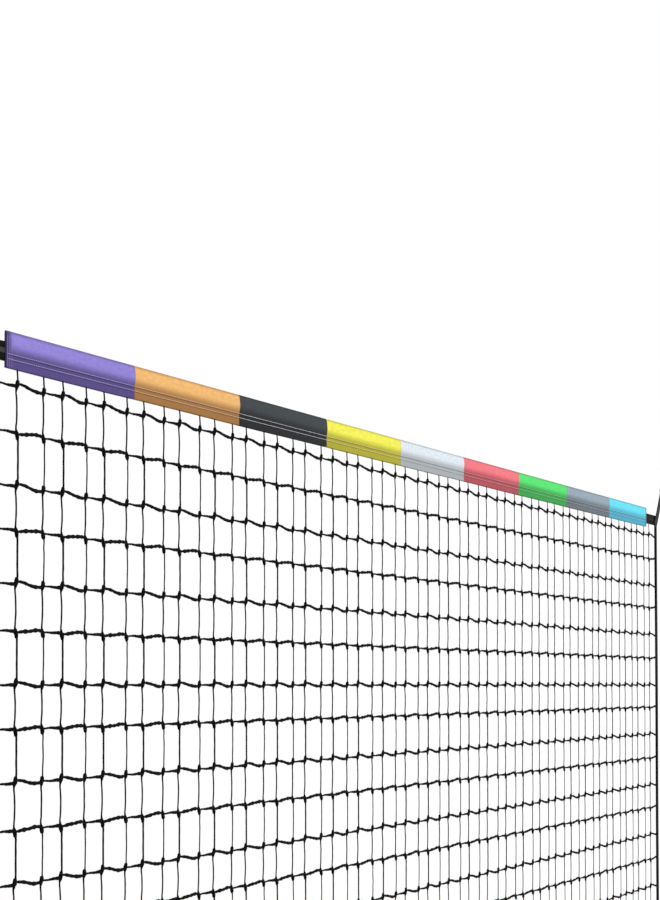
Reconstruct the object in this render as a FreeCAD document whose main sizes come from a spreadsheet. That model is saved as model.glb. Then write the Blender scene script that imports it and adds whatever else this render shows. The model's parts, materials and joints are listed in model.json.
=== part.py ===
import FreeCAD, Part

import math
import os
import re

import Sketcher

# A free-standing pickleball net. A steel rail in four lengths lies between two cross feet, which swivel on
# bolts. Bowed poles stand in sockets at the rail's ends and hold the net by its top corners, and straps with
# cam buckles hold the bottom corners to the sockets. X runs along the net, Y from front to back and Z up.
# The origin is on the floor under the middle of the net. Right means the end at +X.

Vector = FreeCAD.Vector
DOC = FreeCAD.newDocument("portable_net")
COLOURS = ("purple", "orange", "charcoal", "yellow", "white", "red", "green", "grey", "cyan")

# Sizes that are set by themselves, in millimetres and degrees
DRIVING = {
    # net and headband
    "net_top": 914,
    "cell": 50.8,
    "twine": 3.4,
    "net_thick": 2,
    "colour_length": 304.8,
    "band_height": 39,
    "band_depth": 6.4,
    "full_drop": 20.5,
    "stitch_drop": 24.5,
    "crown_radius": 1.8,
    "cloth_wall": 1,
    "bind_slot": 2.6,
    # webbing and tapes
    "web_width": 20,
    "web_thick": 1.8,
    "web_drop": 21.3,
    "tape_space": 83,
    "bottom_height": 94,
    "cloth_gap": 0.3,
    "sew_gap": 0.1,
    # bowed poles
    "pole_d": 12.7,
    "pole_lean": 6.5,
    "tip_lean": 0.5,
    "split_lean": 3,
    "bow_radius": 7050,
    "ferrule_length": 90,
    "ferrule_wall": 1.2,
    "ferrule_gap": 0.3,
    "tube_gap": 0.1,
    # pole hook
    "hook_sleeve": 32,
    "hook_wall": 2.6,
    "hook_rise": 2,
    "hook_cap": 7,
    "hook_chamfer": 3,
    "horn_radius": 7,
    "lip_radius": 9,
    "lip_thick": 3.2,
    "strap_lap": 15,
    "strap_loop": 42,
    "strap_stitch": 22,
    # rail and sockets
    "pole_space": 60,
    "socket_wall": 3,
    "socket_below": 15.5,
    "socket_above": 62,
    "socket_floor": 3,
    "rail_d": 25.4,
    "rail_wall": 1.5,
    "rail_split": 740,
    "spigot_length": 130,
    "spigot_wall": 1.5,
    # snap buttons
    "button_d": 7,
    "button_offset": 30,
    "button_proud": 3.3,
    "flange_d": 9.2,
    "flange_thick": 1,
    "leaf_wide": 8,
    "leaf_thick": 0.6,
    "leaf_reach": 38,
    "leaf_fold": 2,
    # cross feet
    "foot_inset": 62,
    "foot_d": 25.4,
    "foot_wall": 1.5,
    "foot_half": 320,
    "foot_flat": 60,
    "foot_slope": 2.8,
    "boot_sole": 3.6,
    "boot_wall": 3,
    "boot_cover": 42,
    "boot_round": 6,
    "saddle_d": 36,
    "saddle_base": 3,
    "saddle_side": 7,
    "swivel_gap": 0.2,
    "bolt_d": 8,
    "bolt_head_d": 15,
    "bolt_head": 4.4,
    "nut_flats": 13,
    "nut_height": 6.5,
    # cam buckles
    "pin_back": 23,
    "pin_rise": 6.4,
    "pin_d": 3,
    "plate_thick": 2.2,
    "bar_back": 15.5,
    "bar_drop": 4.1,
    "bar_d": 3,
    "side_gap": 0.4,
    "lever_gap": 0.5,
    "strap_tail": 75,
}

# Sizes and places worked out from the driving ones
WORKED = {
    "band_half": f"{len(COLOURS)} * colour_length / 2",
    "band_low": "net_top - band_height",
    "tape_centre": "band_half + tape_space",
    "socket_centre": "tape_centre + pole_space",
    "foot_centre": "socket_centre - foot_inset",
    "bind_face": "bind_slot / 2 + cloth_wall",
    "web_mid": "net_top - web_drop",
    "web_low": "web_mid - web_width / 2",
    "tape_in": "tape_centre - web_width / 2",
    "tape_out": "tape_centre + web_width / 2",
    "fold_x": "tape_out - bind_face",
    "hem_low": "bottom_height - web_width / 2",
    "hem_top": "bottom_height + web_width / 2",
    "boot_radius": "foot_d / 2 + tube_gap + boot_wall",
    "foot_drop": "(foot_half - foot_flat) * tan(foot_slope)",
    "end_height": "boot_sole + foot_d / 2 / cos(foot_slope)",
    "foot_height": "end_height + foot_drop",
    "swivel_plane": "foot_height + foot_d / 2 + tube_gap + saddle_base",
    "rail_height": "swivel_plane + swivel_gap + saddle_base + tube_gap + rail_d / 2",
    "rail_bore": "rail_d / 2 - rail_wall",
    "spigot_radius": "rail_bore - tube_gap",
    "spigot_bore": "spigot_radius - spigot_wall",
    "bolt_hole": "bolt_d / 2 + tube_gap",
    "pole_bore": "pole_d / 2 + tube_gap",
    "socket_radius": "pole_bore + socket_wall",
    "mouth_x": "socket_centre + socket_above * sin(pole_lean)",
    "mouth_z": "rail_height + socket_above * cos(pole_lean)",
    "bow_x": "mouth_x - bow_radius * cos(pole_lean)",
    "bow_z": "mouth_z + bow_radius * sin(pole_lean)",
    "tip_x": "bow_x + bow_radius * cos(tip_lean)",
    "tip_z": "bow_z + bow_radius * sin(tip_lean)",
    "split_x": "bow_x + bow_radius * cos(split_lean)",
    "split_z": "bow_z - bow_radius * sin(split_lean)",
    "hook_radius": "pole_bore + hook_wall",
    "elbow_x": "tip_x - hook_rise * sin(tip_lean)",
    "elbow_z": "tip_z + hook_rise * cos(tip_lean)",
    "horn_seat": "sqrt(hook_radius ^ 2 + (hook_cap - hook_chamfer) ^ 2) + cloth_gap",
    "seat_mid": "horn_seat + web_width / 2",
    "lip_low": "horn_seat + web_width + cloth_gap",
    "elbow_rise": "elbow_z - web_mid",
    "elbow_out": "elbow_x - tape_centre",
    "strap_run": "sqrt(elbow_rise ^ 2 + elbow_out ^ 2 - seat_mid ^ 2)",
    "strap_angle": "atan(elbow_rise / elbow_out) + atan(seat_mid / strap_run)",
    "loop_start": "strap_run - strap_loop",
    "wrap_x": "socket_centre + (bottom_height - rail_height) * tan(pole_lean)",
    "wrap_in": "socket_radius / cos(pole_lean) + web_width / 2 * tan(pole_lean) + cloth_gap",
    "pin_x": "wrap_x - pin_back",
    "bar_x": "pin_x - bar_back",
    "bar_y": "wrap_in - bar_drop",
    "wall_in": "web_width / 2 + side_gap",
    "wall_out": "wall_in + plate_thick",
    "button_hole": "button_d / 2 + tube_gap",
    "button_top": "rail_d / 2 + button_proud",
    "button_low": "sqrt(spigot_bore ^ 2 - flange_d ^ 2 / 4) - tube_gap - flange_thick",
    "leaf_low": "leaf_thick + tube_gap - sqrt(spigot_bore ^ 2 - leaf_wide ^ 2 / 4)",
    "leaf_high": "button_low - tube_gap / 2 - leaf_thick",
}

SHEET = DOC.addObject("Spreadsheet::Sheet", "Sizes")
for row, (alias, size) in enumerate(DRIVING.items(), 1):
    SHEET.set(f"A{row}", alias)
    SHEET.set(f"B{row}", str(size))
    SHEET.setAlias(f"B{row}", alias)
DOC.recompute()


def formula(text):
    """The same formula in the sheet's own cells, with every worked-out size written out."""

    def cell(match):
        word = match.group()
        if word in WORKED:
            return "(" + formula(WORKED[word]) + ")"
        return "Sizes." + word if word in DRIVING else word

    return re.sub(r"[a-z]+(_[a-z]+)*", cell, text)


def value(text):
    """What a formula comes to now, in millimetres or degrees."""
    got = SHEET.evalExpression(formula(text))
    return float(getattr(got, "Value", got))


def bind(thing, **sizes):
    """Ties properties to formulas. A double underscore stands for the dot in a property's path."""
    for path, text in sizes.items():
        thing.setExpression(path.replace("__", "."), formula(text))
    return thing


def seat(thing, at=("0", "0", "0"), turn=None, about=None):
    """Puts a thing at a point, turned by a formula in degrees about a fixed direction."""
    if about is not None:
        thing.Placement = FreeCAD.Placement(Vector(), FreeCAD.Rotation(about, 1))
        bind(thing, Placement__Rotation__Angle=turn)
    for axis, text in zip("xyz", at):
        thing.setExpression(f"Placement.Base.{axis}", formula(text))
    return thing


# Turns that lay a sketch's own x, y and normal along the part's axes
ALONG_X = ("120", Vector(1, 1, 1))
FACING_FRONT = ("90", Vector(1, 0, 0))
Y_AXIS = Vector(0, 1, 0)


# Sketches

def pin(sketch, piece, end, x, y):
    """Fixes one point of a sketch at two formulas from the sketch's origin."""
    for kind, text, axis in (("DistanceX", x, -2), ("DistanceY", y, -1)):
        if abs(value(text)) < 1e-9:
            sketch.addConstraint(Sketcher.Constraint("PointOnObject", piece, end, axis))
        else:
            made = sketch.addConstraint(Sketcher.Constraint(kind, -1, 1, piece, end, value(text)))
            sketch.setExpression(f"Constraints[{made}]", formula(text))


def radius(sketch, piece, text):
    made = sketch.addConstraint(Sketcher.Constraint("Radius", piece, value(text)))
    sketch.setExpression(f"Constraints[{made}]", formula(text))


def circle(sketch, x, y, text):
    drawn = sketch.addGeometry(Part.Circle(Vector(value(x), value(y), 0), Vector(0, 0, 1), value(text)))
    pin(sketch, drawn, 3, x, y)
    radius(sketch, drawn, text)


def line(sketch, start, end):
    return sketch.addGeometry(Part.LineSegment(Vector(*start, 0), Vector(*end, 0)))


def arc(sketch, centre, start, end):
    """An arc that turns left from its start to its end."""
    size = math.dist(centre, start)
    first, last = (math.atan2(p[1] - centre[1], p[0] - centre[0]) for p in (start, end))
    whole = Part.Circle(Vector(*centre, 0), Vector(0, 0, 1), size)
    return sketch.addGeometry(Part.ArcOfCircle(whole, first, last))


def outline(sketch, corners):
    """A closed outline. A corner is x and y, and a third formula makes the side that follows it an arc of
    that radius which swells to the right of its own direction."""
    places = [(value(x), value(y)) for x, y, *_ in corners]
    ends = []
    for n, corner in enumerate(corners):
        start, end = places[n], places[(n + 1) % len(places)]
        if len(corner) == 2:
            ends.append((line(sketch, start, end), 1, 2))
            continue
        half = math.dist(start, end) / 2
        reach = math.sqrt(max(value(corner[2]) ** 2 - half**2, 0)) / (2 * half)
        middle = [(a + b) / 2 for a, b in zip(start, end)]
        centre = (middle[0] - (end[1] - start[1]) * reach, middle[1] + (end[0] - start[0]) * reach)
        ends.append((arc(sketch, centre, start, end), 1, 2))
        radius(sketch, ends[-1][0], corner[2])
    for n, (piece, first, last) in enumerate(ends):
        after = ends[(n + 1) % len(ends)]
        sketch.addConstraint(Sketcher.Constraint("Coincident", piece, last, after[0], after[1]))
        pin(sketch, piece, first, corners[n][0], corners[n][1])


def touch(point, centre, size, side):
    """Where a line from a point touches a circle that lies on its left (1) or on its right (-1)."""
    away = math.dist(point, centre)
    turn = math.atan2(centre[1] - point[1], centre[0] - point[0]) - side * math.asin(size / away)
    run = math.sqrt(away**2 - size**2)
    return point[0] + run * math.cos(turn), point[1] + run * math.sin(turn)


# Solids

def fold(name, first, centre, size, last):
    """A flat strip seen on edge, as the line of its inner face: straight along the first points, left round
    a circle and straight along the last points."""
    sketch = DOC.addObject("Sketcher::SketchObject", name + "_line")
    near, far = ([(value(x), value(y)) for x, y in points] for points in (first, last))
    middle = (value(centre[0]), value(centre[1]))
    onto = touch(near[-1], middle, value(size), 1)
    off = touch(far[0], middle, value(size), -1)
    ways = [line(sketch, a, b) for a, b in zip(near, near[1:] + [onto])]
    bend = arc(sketch, middle, onto, off)
    backs = [line(sketch, a, b) for a, b in zip([off] + far, far)]
    for a, b in list(zip(ways, ways[1:])) + list(zip(backs, backs[1:])):
        sketch.addConstraint(Sketcher.Constraint("Coincident", a, 2, b, 1))
    sketch.addConstraint(Sketcher.Constraint("Tangent", ways[-1], 2, bend, 1))
    sketch.addConstraint(Sketcher.Constraint("Tangent", bend, 2, backs[0], 1))
    radius(sketch, bend, size)
    pin(sketch, bend, 3, *centre)
    for piece, point in zip(ways, first):
        pin(sketch, piece, 1, *point)
    for piece, point in zip(backs, last):
        pin(sketch, piece, 2, *point)
    return sketch


def thicken(sketch, thick):
    """The strip's whole edge, from its inner face outwards."""
    edge = DOC.addObject("Part::Offset2D", sketch.Name + "_edge")
    edge.Source = sketch
    edge.Mode, edge.Join, edge.Fill = "Skin", "Intersection", True
    return bind(edge, Value=thick)


def extrude(label, face, length, symmetric=False):
    made = DOC.addObject("Part::Extrusion", label)
    made.Base = face
    made.DirMode, made.Dir, made.Solid, made.Symmetric = "Custom", Vector(0, 0, 1), True, symmetric
    return bind(made, LengthFwd=length)


def cylinder(name, size, height, at=("0", "0", "0"), turn=None, about=None):
    made = bind(DOC.addObject("Part::Cylinder", name), Radius=size, Height=height)
    return seat(made, at, turn, about)


def box(name, length, width, height, at):
    made = bind(DOC.addObject("Part::Box", name), Length=length, Width=width, Height=height)
    return seat(made, at)


def fuse(name, pieces):
    made = DOC.addObject("Part::MultiFuse", name)
    made.Shapes = pieces
    made.Refine = True
    return made


def cut(name, base, tools):
    for n, tool in enumerate(tools):
        made = DOC.addObject("Part::Cut", name if n == len(tools) - 1 else f"{name}_cut")
        made.Base, made.Tool = base, tool
        base = made
    return base


def mirrored(label, source):
    made = DOC.addObject("Part::Mirroring", label)
    made.Source, made.Base, made.Normal = source, Vector(), Vector(1, 0, 0)
    return made


def group(label, pieces):
    made = DOC.addObject("Part::Compound", label)
    made.Links = pieces
    return made


def sketch_on(body, role, name, lift="0"):
    """A sketch on one of the body's own origin planes, lifted along the plane's normal."""
    sketch = body.newObject("Sketcher::SketchObject", name)
    plane = next(f for f in body.Origin.OriginFeatures if f.Role == role)
    sketch.AttachmentSupport = [(plane, "")]
    sketch.MapMode = "FlatFace"
    return bind(sketch, AttachmentOffset__Base__z=lift)


def turned(name, corners):
    """A body turned about its own Z axis, from a half outline of radius and height."""
    body = DOC.addObject("PartDesign::Body", name)
    half = sketch_on(body, "XZ_Plane", name + "_half")
    outline(half, corners)
    whole = body.newObject("PartDesign::Revolution", name + "_turned")
    whole.Profile, whole.ReferenceAxis, whole.Angle = half, (half, ["V_Axis"]), 360
    return body


def tube(name, outer, inner, start, length):
    """A body that is a tube along X."""
    body = DOC.addObject("PartDesign::Body", name)
    ring = sketch_on(body, "YZ_Plane", name + "_ring", start)
    circle(ring, "0", "0", outer)
    circle(ring, "0", "0", inner)
    drawn = body.newObject("PartDesign::Pad", name + "_length")
    drawn.Profile = ring
    bind(drawn, Length=length)
    return body


def drill(body, name, x, size, depth, lift="0"):
    """A round hole upwards from a level of the body."""
    hole = sketch_on(body, "XY_Plane", name + "_mark", lift)
    circle(hole, x, "0", size)
    DOC.recompute()
    before = body.Shape.Volume
    pocket = body.newObject("PartDesign::Pocket", name)
    pocket.Profile, pocket.Reversed = hole, True
    bind(pocket, Length=depth)
    DOC.recompute()
    if body.Shape.Volume >= before:
        raise ValueError(f"{name} cuts nothing")
    return body


def bowed(name, top, sweep):
    """A rod bent along the pole's arc, from a lean down through a sweep, both in degrees."""
    body = DOC.addObject("PartDesign::Body", name)
    section = sketch_on(body, "XY_Plane", name + "_section")
    circle(section, "bow_radius", "0", "pole_d / 2")
    bend = body.newObject("PartDesign::Revolution", name + "_bend")
    bend.Profile, bend.ReferenceAxis = section, (section, ["V_Axis"])
    bind(bend, Angle=sweep)
    return seat(body, ("bow_x", "0", "bow_z"), top, Y_AXIS)


# The net and its cloth

def headband():
    """One folded sleeve per colour, fullest just above its two rows of stitches, over a flat flap."""
    half_slot, half_full = "bind_slot / 2", "band_depth / 2 - cloth_wall"
    stitch, full = "band_height - stitch_drop", "band_height - full_drop"
    crown = ("0", "band_height - cloth_wall - crown_radius")
    front = [(half_slot, "0"), (half_slot, stitch), (half_full, full)]
    back = [(f"-({half_full})", full), ("-" + half_slot, stitch), ("-" + half_slot, "0")]
    edge = thicken(fold("band", front, crown, "crown_radius", back), "cloth_wall")
    sections = []
    for n, colour in enumerate(COLOURS):
        section = extrude("headband_" + colour, edge, "colour_length")
        sections.append(seat(section, (f"{n} * colour_length - band_half", "0", "band_low"), *ALONG_X))
    return sections


def headline():
    """Webbing through the whole band, from side tape to side tape."""
    at = ("-fold_x", "-web_thick / 2", "web_low")
    return box("headline_webbing", "2 * fold_x", "web_thick", "web_width", at)


def net():
    """The mesh as one sheet with square openings, two cells of twine to an opening."""
    pitch, strand = 2 * value("cell"), value("twine") / 2
    reach, low, high = value("fold_x"), value("hem_low + bind_face"), value("web_low - cloth_gap")
    last = int(value("tape_in - cell") / pitch)
    ups = [pitch * n for n in range(-last, last + 1)]
    rows = int(value("net_top - hem_top") / pitch)
    overs = [value("net_top") - pitch * n for n in range(1, rows + 1)]
    lefts = [-value("tape_in + cloth_wall")] + [x + strand for x in ups]
    rights = [x - strand for x in ups] + [value("tape_in + cloth_wall")]
    tops = [value("band_low + cloth_wall")] + [z - strand for z in overs]
    bottoms = [z + strand for z in overs] + [value("hem_top - cloth_wall")]

    def frame(x0, z0, x1, z1):
        around = [(x0, z0), (x1, z0), (x1, z1), (x0, z1), (x0, z0)]
        return Part.makePolygon([Vector(x, -value("net_thick") / 2, z) for x, z in around])

    openings = [frame(x0, z0, x1, z1) for x0, x1 in zip(lefts, rights) for z1, z0 in zip(tops, bottoms)]
    sheet = Part.makeFace([frame(-reach, low, reach, high)] + openings, "Part::FaceMakerBullseye")
    made = DOC.addObject("Part::Feature", "net_mesh")
    made.Shape = sheet.extrude(Vector(0, value("net_thick"), 0))
    return made


def side_tape():
    """A binding folded round the net's edge, open towards the net."""
    first, last = [("tape_in", "-bind_slot / 2")], [("tape_in", "bind_slot / 2")]
    path = fold("side", first, ("fold_x", "0"), "bind_slot / 2", last)
    made = extrude("side_tape_right", thicken(path, "cloth_wall"), "web_mid + web_width / 2 - hem_top")
    return seat(made, ("0", "0", "hem_top"))


def bottom_tape():
    first, last = [("-bind_slot / 2", "web_width")], [("bind_slot / 2", "web_width")]
    path = fold("bottom", first, ("0", "bind_face"), "bind_slot / 2", last)
    made = extrude("bottom_tape", thicken(path, "cloth_wall"), "2 * tape_out")
    return seat(made, ("-tape_out", "0", "hem_low"), *ALONG_X)


def corner_strap():
    """Webbing sewn on the top corner, which loops over the pole hook's horn and is sewn back on itself."""
    sewn = "loop_start - strap_stitch"
    first = [("-strap_lap", "-bind_face"), ("strap_lap", "-bind_face"), (sewn, "-sew_gap / 2"),
             ("loop_start", "-sew_gap / 2")]
    last = [("loop_start", "sew_gap / 2"), (sewn, "sew_gap / 2")]
    path = fold("corner", first, ("strap_run", "0"), "horn_radius + cloth_gap", last)
    made = extrude("corner_strap_right", thicken(path, "web_thick"), "web_width", symmetric=True)
    return seat(made, ("tape_centre", "0", "web_mid"), "-strap_angle", Y_AXIS)


# The poles

def pole_hook():
    """A moulded cap on the pole's tip, with a horn square to the corner strap that ends in a lip."""
    skirt = "-hook_sleeve - hook_rise"
    sleeve = turned("hook_sleeve_body", [
        ("pole_bore", skirt), ("hook_radius", skirt), ("hook_radius", "hook_cap - hook_chamfer"),
        ("hook_radius - hook_chamfer", "hook_cap"), ("0", "hook_cap"), ("0", "tube_gap - hook_rise"),
        ("pole_bore", "tube_gap - hook_rise"),
    ])
    horn = turned("hook_horn", [
        ("0", "0"), ("horn_radius", "0"), ("horn_radius", "lip_low"), ("lip_radius", "lip_low + cloth_wall"),
        ("lip_radius", "lip_low + lip_thick"), ("horn_radius", "lip_low + 1.4 * lip_thick"),
        ("0", "lip_low + 1.4 * lip_thick"),
    ])
    for piece, lean in ((sleeve, "-tip_lean"), (horn, "-strap_angle")):
        seat(piece, ("elbow_x", "0", "elbow_z"), lean, Y_AXIS)
    inside = ("tip_x + hook_sleeve * sin(tip_lean)", "0", "tip_z - hook_sleeve * cos(tip_lean)")
    bore = cylinder("hook_bore", "pole_bore", "hook_sleeve + tube_gap", inside, "-tip_lean", Y_AXIS)
    return cut("pole_hook_right", fuse("hook_solid", [sleeve, horn]), [bore])


def poles():
    """Two rods end to end along one arc, the lower with a straight stub in its socket, and their ferrule.
    The ferrule is straight, so its gap takes up the rods' bow."""
    upper = bowed("pole_upper_right", "-tip_lean", "tip_lean + split_lean")
    bend = bowed("pole_lower_bend", "split_lean", "pole_lean - split_lean")
    depth = "socket_above + socket_below - socket_floor - tube_gap"
    foot = (f"mouth_x - ({depth}) * sin(pole_lean)", "0", f"mouth_z - ({depth}) * cos(pole_lean)")
    stub = cylinder("pole_stub", "pole_d / 2", depth, foot, "pole_lean", Y_AXIS)
    half = "ferrule_length / 2"
    low = (f"split_x - {half} * sin(split_lean)", "0", f"split_z - {half} * cos(split_lean)")
    bore = "pole_d / 2 + ferrule_gap"
    outside, inside = (
        cylinder(name, size, "ferrule_length", low, "split_lean", Y_AXIS)
        for name, size in (("ferrule_outside", f"{bore} + ferrule_wall"), ("ferrule_inside", bore))
    )
    return upper, fuse("pole_lower_right", [bend, stub]), cut("ferrule_right", outside, [inside])


def pole_socket():
    """A blind tube welded on the rail's end, leaning outwards as the pole does."""
    made = turned("pole_socket_right", [
        ("0", "-socket_below"), ("socket_radius", "-socket_below"), ("socket_radius", "socket_above"),
        ("pole_bore", "socket_above"), ("pole_bore", "socket_floor - socket_below"),
        ("0", "socket_floor - socket_below"),
    ])
    return seat(made, ("socket_centre", "0", "rail_height"), "pole_lean", Y_AXIS)


# The rail

def rails():
    """The outer rail, coped round its socket, and both inner rails. Only the right one is drilled."""
    whole = tube("rail_outer_tube", "rail_d / 2", "rail_bore", "rail_split", "socket_centre - rail_split")
    drill(whole, "outer_button_hole", "rail_split + button_offset", "button_hole", "rail_d / 2")
    drill(whole, "rail_bolt_hole", "foot_centre", "bolt_hole", "rail_d", "-rail_d / 2")
    seat(whole, ("0", "0", "rail_height"))
    down = ("socket_centre - rail_d * sin(pole_lean)", "0", "rail_height - rail_d * cos(pole_lean)")
    cope = cylinder("rail_cope", "socket_radius + tube_gap", "2 * rail_d", down, "pole_lean", Y_AXIS)
    outer = cut("rail_outer_right", whole, [cope])
    inner = tube("rail_inner_right", "rail_d / 2", "rail_bore", "0", "rail_split")
    drill(inner, "middle_button_hole", "button_offset", "button_hole", "rail_d / 2")
    seat(inner, ("0", "0", "rail_height"))
    left = tube("rail_inner_left", "rail_d / 2", "rail_bore", "-rail_split", "rail_split")
    return outer, inner, seat(left, ("0", "0", "rail_height"))


def rail_joint(place, x):
    """The spigot in a joint, the domed button through it, and the folded leaf that holds the button out."""
    start = f"{x} - spigot_length / 2"
    spigot = tube("spigot_" + place, "spigot_radius", "spigot_bore", start, "spigot_length")
    drill(spigot, f"spigot_{place}_hole", f"{x} + button_offset", "button_hole", "spigot_radius")
    seat(spigot, ("0", "0", "rail_height"))
    at = (f"{x} + button_offset", "0", "rail_height")
    button = turned("snap_button_" + place, [
        ("0", "button_low"), ("flange_d / 2", "button_low"), ("flange_d / 2", "button_low + flange_thick"),
        ("button_d / 2", "button_low + flange_thick"), ("button_d / 2", "button_top - button_d / 5"),
        ("button_d / 4", "button_top"), ("0", "button_top"),
    ])
    leaf = fold(
        "leaf_" + place,
        [("-button_d", "leaf_low")],
        ("leaf_reach", "(leaf_low + leaf_high) / 2"),
        "leaf_fold",
        [("button_d", "leaf_high"), ("-flange_d / 2", "leaf_high")],
    )
    spring = extrude("button_spring_" + place, thicken(leaf, "leaf_thick"), "leaf_wide", symmetric=True)
    return spigot, seat(button, at), seat(spring, at, *FACING_FRONT)


# The cross feet

def foot_tube():
    """A tube across the rail's end, straight in the middle and sloping down to both boots."""
    body = DOC.addObject("PartDesign::Body", "foot_tube_right")
    ring = sketch_on(body, "XZ_Plane", "foot_ring")
    circle(ring, "0", "foot_height", "foot_d / 2")
    circle(ring, "0", "foot_height", "foot_d / 2 - foot_wall")
    path = sketch_on(body, "YZ_Plane", "foot_path")
    turns = [("0", "foot_height"), ("foot_flat", "foot_height"), ("foot_half", "end_height")]
    middle, turn, end = ((value(x), value(y)) for x, y in turns)
    flat, slope = line(path, middle, turn), line(path, turn, end)
    path.addConstraint(Sketcher.Constraint("Coincident", flat, 2, slope, 1))
    for piece, point, place in ((flat, 1, turns[0]), (slope, 1, turns[1]), (slope, 2, turns[2])):
        pin(path, piece, point, *place)
    pipe = body.newObject("PartDesign::AdditivePipe", "foot_pipe")
    pipe.Profile, pipe.Spine, pipe.Transition = ring, (path, []), "Right corner"
    DOC.recompute()
    both = body.newObject("PartDesign::Mirrored", "foot_both")
    both.Originals = [pipe]
    both.MirrorPlane = (next(f for f in body.Origin.OriginFeatures if f.Role == "XZ_Plane"), [""])
    body.Tip = both
    drill(body, "foot_bolt_hole", "0", "bolt_hole", "2 * foot_height")
    return seat(body, ("foot_centre", "0", "0"))


def foot_boots():
    """Two rubber boots over the tube's ends, each with a flat sole."""
    end = ("0", "foot_half", "end_height")
    slant = ("90 - foot_slope", Vector(1, 0, 0))
    past = ("0", "foot_half + boot_wall * cos(foot_slope)", "end_height - boot_wall * sin(foot_slope)")
    sleeve = cylinder("boot_sleeve", "boot_radius", "boot_cover + boot_wall", past, *slant)
    base = box("boot_sole_block", "2 * boot_radius", "boot_cover + boot_wall", "end_height",
               ("-boot_radius", "foot_half - boot_cover", "0"))
    sole = DOC.addObject("Part::Fillet", "boot_sole_round")
    sole.Base = base
    DOC.recompute()
    uprights = [n for n, e in enumerate(base.Shape.Edges, 1) if abs(e.tangentAt(e.FirstParameter).z) > 0.5]
    sole.Edges = [(n, value("boot_round"), value("boot_round")) for n in uprights]
    bore = cylinder("boot_bore", "foot_d / 2 + tube_gap", "2 * boot_cover", end, *slant)
    back = seat(cut("boot_back", fuse("boot_solid", [sleeve, sole]), [bore]), ("foot_centre", "0", "0"))
    front = DOC.addObject("Part::Mirroring", "boot_front")
    front.Source, front.Base, front.Normal = back, Vector(), Y_AXIS
    return group("foot_boots_right", [front, back])


def saddles():
    """Moulded cradles between the rail and the foot, flat where they turn on each other."""
    side = "saddle_base + saddle_side"
    hole = cylinder("saddle_hole", "bolt_hole", "2 * rail_height", ("foot_centre", "0", "0"))
    under = ("foot_centre", "0", f"swivel_plane - ({side})")
    over = ("foot_centre", "0", "swivel_plane + swivel_gap")
    lower = cylinder("foot_saddle_disc", "saddle_d / 2", side, under)
    across = cylinder("foot_saddle_bed", "foot_d / 2 + tube_gap", "2 * saddle_d",
                      ("foot_centre", "saddle_d", "foot_height"), "90", Vector(1, 0, 0))
    upper = cylinder("rail_saddle_disc", "saddle_d / 2", side, over)
    along = cylinder("rail_saddle_bed", "rail_d / 2 + tube_gap", "2 * saddle_d",
                     ("foot_centre - saddle_d", "0", "rail_height"), "90", Y_AXIS)
    return cut("foot_saddle_right", lower, [across, hole]), cut("rail_saddle_right", upper, [along, hole])


def swivel_fixings():
    """A round-headed bolt down through rail, saddles and foot at each end, and its nut."""
    nut_top = "foot_height - foot_d / 2 - tube_gap"
    head = "rail_height + rail_d / 2 + tube_gap"
    point = f"{nut_top} - nut_height - 1"
    bolt = turned("swivel_bolt", [
        ("0", point), ("bolt_d / 2", point), ("bolt_d / 2", head),
        ("bolt_head_d / 2", head), ("bolt_head_d / 2", f"{head} + bolt_head / 4"),
        ("bolt_head_d / 4", f"{head} + bolt_head"), ("0", f"{head} + bolt_head"),
    ])
    seat(bolt, ("foot_centre", "0", "0"))
    prism = DOC.addObject("Part::Prism", "nut_prism")
    prism.Polygon = 6
    bind(prism, Circumradius="nut_flats / sqrt(3)", Height="nut_height")
    seat(prism, ("foot_centre", "0", f"{nut_top} - nut_height"))
    bore = cylinder("nut_bore", "bolt_d / 2 + tube_gap / 2", "2 * foot_height", ("foot_centre", "0", "0"))
    nut = cut("swivel_nut", prism, [bore])
    bolts = group("swivel_bolts", [bolt, mirrored("swivel_bolt_left", bolt)])
    return bolts, group("swivel_nuts", [nut, mirrored("swivel_nut_left", nut)])


# The bottom corners

def anchor_strap():
    """Webbing from the net's bottom corner, forwards round the socket and back through the cam buckle."""
    first = [("tape_in + cloth_wall", "-bind_face"), ("tape_out + cloth_wall", "-bind_face")]
    path = fold("anchor", first, ("wrap_x", "0"), "wrap_in", [("pin_x - strap_tail", "wrap_in")])
    made = extrude("anchor_strap_right", thicken(path, "web_thick"), "web_width")
    return seat(made, ("0", "0", "hem_low"))


def buckle_tab():
    """A short webbing loop that ties the buckle's bar to the net's bottom corner."""
    lower, upper = "bind_face + web_thick", "bind_face + web_thick + sew_gap"
    first = [("tape_in + cloth_wall", lower), ("tape_out - 2 * cloth_wall", lower)]
    last = [("tape_out - 3 * cloth_wall", upper), ("tape_in + cloth_wall", upper)]
    path = fold("tab", first, ("bar_x", "bar_y"), "bar_d / 2 + cloth_gap / 2", last)
    made = extrude("buckle_tab_right", thicken(path, "web_thick"), "web_width")
    return seat(made, ("0", "0", "hem_low"))


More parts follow.
